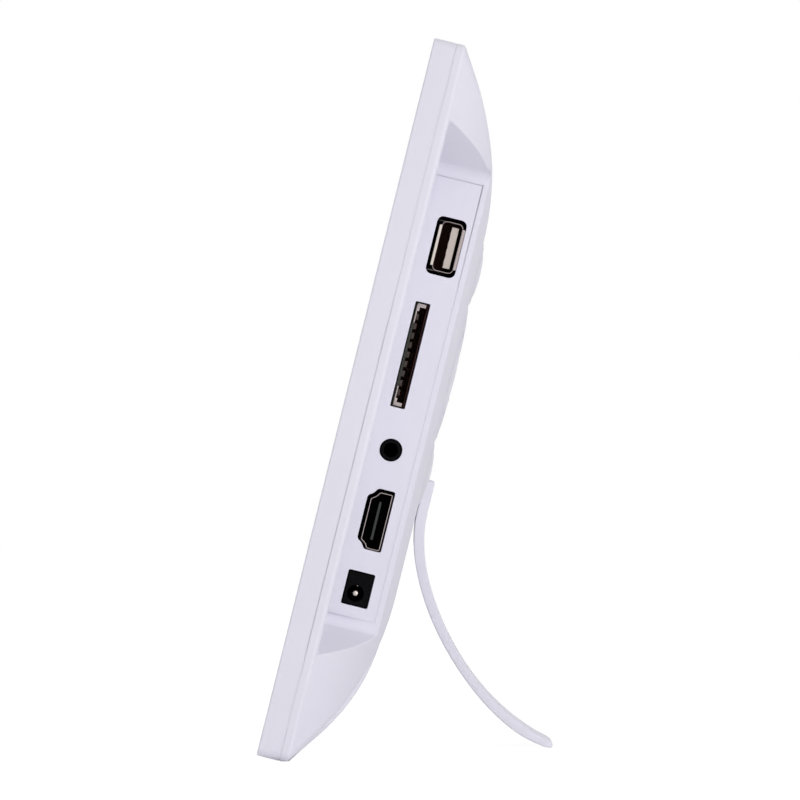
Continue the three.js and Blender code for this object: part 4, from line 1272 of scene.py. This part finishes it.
def distance(piece, x, z):
    """How far the mean of a piece's vertices is from a key's middle."""
    mean = sum((vert.co for vert in piece.data.vertices), Vector()) / len(piece.data.vertices)
    return (mean - Vector((x, cap_high.y, z))).length


for name in ("right_key", "up_key", "left_key", "down_key"):
    nearest = min(quarters, key=lambda piece: distance(piece, *centre_of(name)))
    quarters.remove(nearest)
    round_edges(nearest, 0.18)
    settle(nearest, name, white_keys)

# %% [markdown]
# ## The sockets
# Each socket is a thin metal or plastic mouth a little inside the port wall. What shows is the
# rim's edge, the tongue and the dark inside, so those are modelled, the dark inside as painted
# shade, and the rest follows the packed solid. The data socket is a box of drawn sheet, with folded
# lips along its two long sides.

# %% Data socket's shell
SHELL_END = 0.3  # thickness of a shell's inner end
DATA_SHELL = {"deep": 5.3, "tall": 12.5, "sheet": 0.17, "corner": 1.2}
DATA_LIPS = ((-2.85, -2.2), (2.9, 3.62))  # where they begin and end, from the opening's middle
DATA_LIP = {"tall": 10.2, "inside": 0.3, "outside": 0.05}
SHEET_ROUND = 0.05  # of the edges of sheet metal
DATA_LEG = {"inner": 3, "outer": 6, "half": 0.14}
PAINTED_SHADE_START = 0.06  # how far inside the rim the painted shade begins


def within(point, centre, deep, tall):
    """Whether a point lies in a socket's mouth, seen along x."""
    return abs(point.y - centre.y) < deep / 2 and abs(point.z - centre.z) < tall / 2


def sink(shell, sheet, depth):
    """Insets a shell's outer end by the sheet's thickness and pushes it in."""
    edit(shell)
    choose("faces", lambda face: face.normal.x > 0.9)
    bpy.ops.mesh.inset(thickness=sheet)
    bpy.ops.mesh.extrude_region_move(TRANSFORM_OT_translate={"value": (-depth, 0, 0)})
    done()


data_low, data_high = seat("data_shell")
data_mouth = DATA + Vector((0, 0.35, 0))
shell = block("data", data_mouth, DATA_SHELL["deep"], DATA_SHELL["tall"], data_low.x, data_high.x)
bevel_along(shell, 0, DATA_SHELL["corner"], 4)
sink(shell, DATA_SHELL["sheet"], data_high.x - data_low.x - SHELL_END)
for front, back in DATA_LIPS:
    weld(shell, box(
        "lip", (data_high.x - DATA_LIP["inside"], DATA.y + front, DATA.z - DATA_LIP["tall"] / 2),
        (data_high.x + DATA_LIP["outside"], DATA.y + back, DATA.z + DATA_LIP["tall"] / 2),
    ))
for side in (-1, 1):
    end = DATA.z + side * DATA_SHELL["tall"] / 2
    weld(shell, box(
        "leg", (data_low.x + DATA_LEG["inner"], data_low.y, end - DATA_LEG["half"]),
        (data_low.x + DATA_LEG["outer"], DATA.y, end + DATA_LEG["half"]),
    ))
round_edges(shell, SHEET_ROUND)
# The back lip and the mouth's inner faces get the darker copy of the steel, painted shade beside the bright
# front lip of the same sheet.
settle(shell, "data_shell", socket_steel, parts=(
    (dull_and_shaded_steel, lambda at, way: (
        within(at, data_mouth, DATA_SHELL["deep"] - 2 * NEAR, DATA_SHELL["tall"] - 2 * NEAR)
        or at.y > data_mouth.y + DATA_SHELL["deep"] / 2
    )),
    # Further in, the shell's inside is painted dark brown as shade.
    (painted_shade_brown, lambda at, way: at.x < data_high.x - PAINTED_SHADE_START and within(
        at, data_mouth, DATA_SHELL["deep"] - DATA_SHELL["sheet"], DATA_SHELL["tall"] - DATA_SHELL["sheet"],
    )),
))

# %% Data socket's tongue
TONGUE = {"deep": 1.72, "tall": 10.3, "offset": 1.15, "core": 2.5}
CONTACT = {"places": (-3.5, -1.0, 1.0, 3.5), "tall": 1.0, "rise": 0.12, "inner": 3, "outer": 0.8}
tongue_low, tongue_high = seat("data_tongue")
tongue_at = DATA + Vector((0, TONGUE["offset"], 0))
tongue = block("tongue", tongue_at, TONGUE["deep"], TONGUE["tall"], tongue_low.x, tongue_high.x)
weld(tongue, box("core", tongue_low, (tongue_low.x + TONGUE["core"], tongue_high.y, tongue_high.z)))
for z in CONTACT["places"]:
    weld(tongue, box(
        "contact",
        (tongue_low.x + CONTACT["inner"], tongue_at.y - TONGUE["deep"] / 2 - CONTACT["rise"],
         DATA.z + z - CONTACT["tall"] / 2),
        (tongue_high.x - CONTACT["outer"], tongue_at.y, DATA.z + z + CONTACT["tall"] / 2),
    ))
round_edges(tongue, 0.1)
# The tongue's core at the back is painted dark brown as shade.
settle(tongue, "data_tongue", tongue_resin, parts=(
    (painted_shade_brown, lambda at, way: at.x < tongue_low.x + TONGUE["core"] + LOOSE),
))

# %% [markdown]
# The card slot is a black tray with a row of springs, under a steel cover whose ends are folded
# in at the mouth. The folds show as two bright L shapes at the slot's ends.

# %% Card tray
CARD_MOUTH = (3.7, 26)
POCKET = {"back_wall": 1.5, "floor": 0.6, "tall": 24.6}
SPRING = {"count": 9, "pitch": 2.4, "wide": 1.5, "low": 0.4, "high": 1.35, "inner": 9, "outer": 1.2}
tray_low, tray_high = seat("card_carrier")
tray = box("tray", tray_low, tray_high)
carve(tray, box(
    "pocket",
    (tray_low.x + POCKET["back_wall"], tray_low.y + POCKET["floor"], CARD.z - POCKET["tall"] / 2),
    (tray_high.x + 1, tray_high.y + 1, CARD.z + POCKET["tall"] / 2),
))
spring_places = [CARD.z + (i - (SPRING["count"] - 1) / 2) * SPRING["pitch"] for i in range(SPRING["count"])]
weld(tray, together("springs", [
    box("spring", (tray_high.x - SPRING["inner"], tray_low.y + SPRING["low"], z - SPRING["wide"] / 2),
        (tray_high.x - SPRING["outer"], tray_low.y + SPRING["high"], z + SPRING["wide"] / 2))
    for z in spring_places
]))
round_edges(tray, 0.08)
# The pocket's inside is painted brown as shade, apart from the tray's own resin.
settle(tray, "card_carrier", slot_resin, parts=(
    (pocket_painted_shade, lambda at, way: at.x < tray_high.x - 0.1 and within(at, CARD, *CARD_MOUTH)),
    (spring_resin, lambda at, way: (
        way.x > 0.9 and near(at.x, [tray_high.x - SPRING["outer"]], 0.2) and within(at, CARD, 3.7, 25)
    )),
))

# %% Card cover
SHEET = 0.3
FOLDS = ((0.9, 2.2), (1.9, 0.75), (4.9, 0.32))  # how long and how deep each step of a fold is
FOLD_START = 12.9  # from the slot's middle
FOLD_INSET = 0.35
FOLD_INNER = 0.25  # into the cover and out of it
FOLD_OUTER = 0.9
lid_low, lid_high = seat("card_shell")
lid = box("lid", lid_low, lid_high)
carve(lid, box(
    "under", (lid_low.x - 1, lid_low.y - 1, lid_low.z + SHEET),
    (lid_high.x + 1, lid_high.y - SHEET, lid_high.z - SHEET),
))
for side in (-1, 1):
    for long, deep in FOLDS:
        ends = sorted(CARD.z + side * reach for reach in (FOLD_START, FOLD_START - long))
        weld(lid, box(
            "fold", (lid_high.x - FOLD_INNER, lid_low.y + FOLD_INSET, ends[0]),
            (lid_high.x + FOLD_OUTER, lid_low.y + FOLD_INSET + deep, ends[1]),
        ))
round_edges(lid, SHEET_ROUND)


def on_fold(at):
    long = FOLDS[-1][0] + 0.1
    return at.x > lid_high.x - 0.3 and abs(at.z - CARD.z) > FOLD_START - long and at.y < lid_high.y - 0.6


# The lid's edge at the mouth is painted dark brown as shade, so only the folds show bright.
settle(lid, "card_shell", dull_and_shaded_steel, parts=(
    (painted_shade_brown, lambda at, way: (
        at.x < lid_high.x + 0.3 and within(at, CARD, 9, 30) and not on_fold(at)
    )),
))

# %% Headphone socket
NOSE = {"radius": 2.5, "length": 2.3}
AUDIO_BORE = 1.75
audio_low, audio_high = seat("audio_socket")
body_end = audio_high.x - NOSE["length"]
audio = box("audio", audio_low, (body_end, audio_high.y, audio_high.z))
weld(audio, drum("nose", NOSE["radius"], AUDIO.yz, body_end - 1, audio_high.x, "x", 64))
carve(audio, drum("bore", AUDIO_BORE, AUDIO.yz, audio_low.x + 1, audio_high.x + 1, "x"))
round_edges(audio, 0.22, 3)
settle(audio, "audio_socket", black_plastic)

# %% Video socket
VIDEO_SHELL = {"deep": 5.1, "tall": 14.2, "corner": 1.9, "soft": 0.35, "sheet": 0.2}
VIDEO_TONGUE = {"deep": 0.64, "tall": 9.6, "core": 3}
VIDEO_CORE = (4.4, 13.2, 1.6)  # its depth, height and cut corners
video_low, video_high = seat("video_shell")
mouth = VIDEO + Vector((0, 0.25, -0.3))
video = cut_corners(
    "video", mouth, VIDEO_SHELL["deep"], VIDEO_SHELL["tall"], VIDEO_SHELL["corner"],
    video_low.x, video_high.x, VIDEO_SHELL["soft"],
)
sink(video, VIDEO_SHELL["sheet"], video_high.x - video_low.x - SHELL_END)
round_edges(video, SHEET_ROUND)
# The shell's inner walls are painted black as shade, though they are the same steel sheet.
settle(video, "video_shell", dull_and_shaded_steel, parts=(
    (black_plastic, lambda at, way: at.x < video_high.x - PAINTED_SHADE_START and within(
        at, mouth, VIDEO_SHELL["deep"] - VIDEO_SHELL["sheet"], VIDEO_SHELL["tall"] - VIDEO_SHELL["sheet"],
    )),
))

core_low, core_high = seat("video_tongue")
video_tongue = block(
    "video_tongue", mouth, VIDEO_TONGUE["deep"], VIDEO_TONGUE["tall"], core_low.x, core_high.x,
)
weld(video_tongue, cut_corners("core", mouth, *VIDEO_CORE, core_low.x, core_low.x + VIDEO_TONGUE["core"]))
round_edges(video_tongue, 0.1)
settle(video_tongue, "video_tongue", black_plastic, parts=(
    (slot_resin, lambda at, way: way.x > 0.5 and at.x > core_high.x - 0.3),
))

# %% Power socket and its pin
POWER_BORE = 2.05
PIN_RADIUS = 0.75
SPRING_PLACE = (0.9, 0.1, 2.0)  # in from the mouth, and back and up from the pin
SPRING_LOW = Vector((0.8, 0.16, 0.16))
SPRING_HIGH = Vector((0.3, 0.16, 0.4))
power_low, power_high = seat("power_socket")
pin_low, pin_high = seat("power_pin")
PIN = Vector((0, (pin_low.y + pin_high.y) / 2, (pin_low.z + pin_high.z) / 2))
power = bevel_along(box("power", power_low, power_high), 0, 0.3, 3)
carve(power, drum("power_bore", POWER_BORE, PIN.yz, power_low.x + 2, power_high.x + 1, "x"))
round_edges(power, 0.12)
contact = Vector((power_high.x - SPRING_PLACE[0], PIN.y + SPRING_PLACE[1], PIN.z + SPRING_PLACE[2]))
weld(power, box("contact", contact - SPRING_LOW, contact + SPRING_HIGH))
settle(power, "power_socket", black_plastic, parts=(
    (dull_and_shaded_steel, lambda at, way: (
        contact.x - 0.9 < at.x < contact.x + 0.4
        and near(at.y, [contact.y], 0.25) and near(at.z, [contact.z], 0.3)
    )),
))

pin = drum("pin", PIN_RADIUS, PIN.yz, pin_low.x, pin_high.x, "x", 32)
round_edges(pin, 0.25, 3)
settle(pin, "power_pin", socket_steel)

# %% [markdown]
# ## Finishes for the pieces inside
# The screen, the boards and the rest keep the imported shapes. Each gets the finish that the
# table below gives it.

# %% Finishes of the other nodes
def nodes_with(*words):
    return [node for node in frame["nodes"] if any(word in node for word in words)]


NODE_FINISHES = (
    (screen_glass, ["screen_cell"]),
    (pan_metal, ["screen_pan", "lower_bracket", "upper_bracket"]),
    (clear_plastic, ["light_guide"]),
    (light_strip, ["light_strip"]),
    (screw_steel, nodes_with("_screw_")),
    (board_green, ["main_board", "key_board"]),
    (black_plastic, ["main_chip", "memory_chip"] + nodes_with("_switch", "_plunger")),
    (speaker_black, ["left_speaker", "right_speaker", "power_coil"]),
    (ribbon_film, ["screen_ribbon", "key_ribbon"]),
    (lead_cover, ["left_lead", "right_lead"]),
)
for finish, nodes in NODE_FINISHES:
    for node in nodes:
        frame["nodes"][node].data.materials.clear()
        frame["nodes"][node].data.materials.append(finish)
print("modelled", len(made), "pieces, finished", sum(len(nodes) for _, nodes in NODE_FINISHES), "inner nodes")

# %% [markdown]
# ## Floor and light
# The set is a white sweep: a pale floor under a bright, even sky. What the camera sees of the
# floor is mostly its own white, so that it melts into the background, and a small share is the
# lit floor, which keeps the object's soft shadow. A large lamp stands high on the side with the
# sockets, a small one low beside the foot lifts the undersides, and three weak ones keep the back,
# the screen's side and the top from going dull.


# %% What the camera sees
def seen_directly(nodes):
    """1 for rays that show a surface to the camera, also in a gloss or through a clear piece."""
    path = nodes.node("ShaderNodeLightPath").socket.node
    camera_ray, glossy_ray, clear_ray = (
        Signal(nodes, path.outputs[f"Is {kind} Ray"]) for kind in ("Camera", "Glossy", "Transmission")
    )
    return camera_ray + glossy_ray + clear_ray


print("background helper ready")

# %% Floor
FLOOR_OWN_WHITE = 0.9
bpy.ops.object.select_all(action="DESELECT")
bpy.ops.mesh.primitive_plane_add(size=8, location=(0, 0, 0))
floor = bpy.context.object
floor.name = "floor"
floor_finish = Finish("floor_white")
floor_finish.set(Base_Color=paint(244, 244, 246), Roughness=0.9)
glow = floor_finish.node("ShaderNodeEmission", None, {"Color": (1, 1, 1, 1), "Strength": 1.08})
lit_floor = Signal(floor_finish, floor_finish.surface.outputs[0])
floor_finish.link(
    floor_finish.node("ShaderNodeMixShader", None, {
        0: seen_directly(floor_finish) * FLOOR_OWN_WHITE, 1: lit_floor, 2: glow,
    }),
    floor_finish.tree.nodes["Material Output"].inputs["Surface"],
)
floor.data.materials.append(floor_finish.material)

# %% Sky
SKY = 0.2
world = bpy.data.worlds.new("sky")
bpy.context.scene.world = world
world.use_nodes = True
sky = Nodes(world.node_tree)
soft_light = world.node_tree.nodes["Background"]
soft_light.inputs["Color"].default_value = (0.97, 0.975, 1.0, 1)
soft_light.inputs["Strength"].default_value = SKY
white = sky.node("ShaderNodeBackground", None, {"Color": (1, 1, 1, 1)})
sky.link(
    sky.node("ShaderNodeMixShader", None, {
        0: seen_directly(sky), 1: Signal(sky, soft_light.outputs[0]), 2: white,
    }),
    world.node_tree.nodes["World Output"].inputs["Surface"],
)


# %% Lamps
def lamp(name, place, target, size, power):
    """A square soft lamp that faces a point."""
    bpy.ops.object.light_add(type="AREA", location=place)
    light = bpy.context.object
    light.name = name
    light.data.size = size
    light.data.energy = power
    light.rotation_euler = (Vector(target) - Vector(place)).to_track_quat("-Z", "Y").to_euler()


lamp("side_lamp", (1.9, 0.8, 1.3), (0, 0, 0), 5.0, 44)
lamp("low_lamp", (0.5, 0.15, 0.08), (0.13, 0, 0.03), 0.15, 0.35)
lamp("back_lamp", (0.6, 1.2, 0.4), (0, 0, 0.1), 1.0, 2.8)
lamp("front_lamp", (-1.5, -1.9, 1.1), (0, 0, 0.08), 3.0, 46)
lamp("top_lamp", (0.2, 0.1, 2.4), (0, 0, 0), 2.0, 9)
print("sky", SKY, "and five lamps")
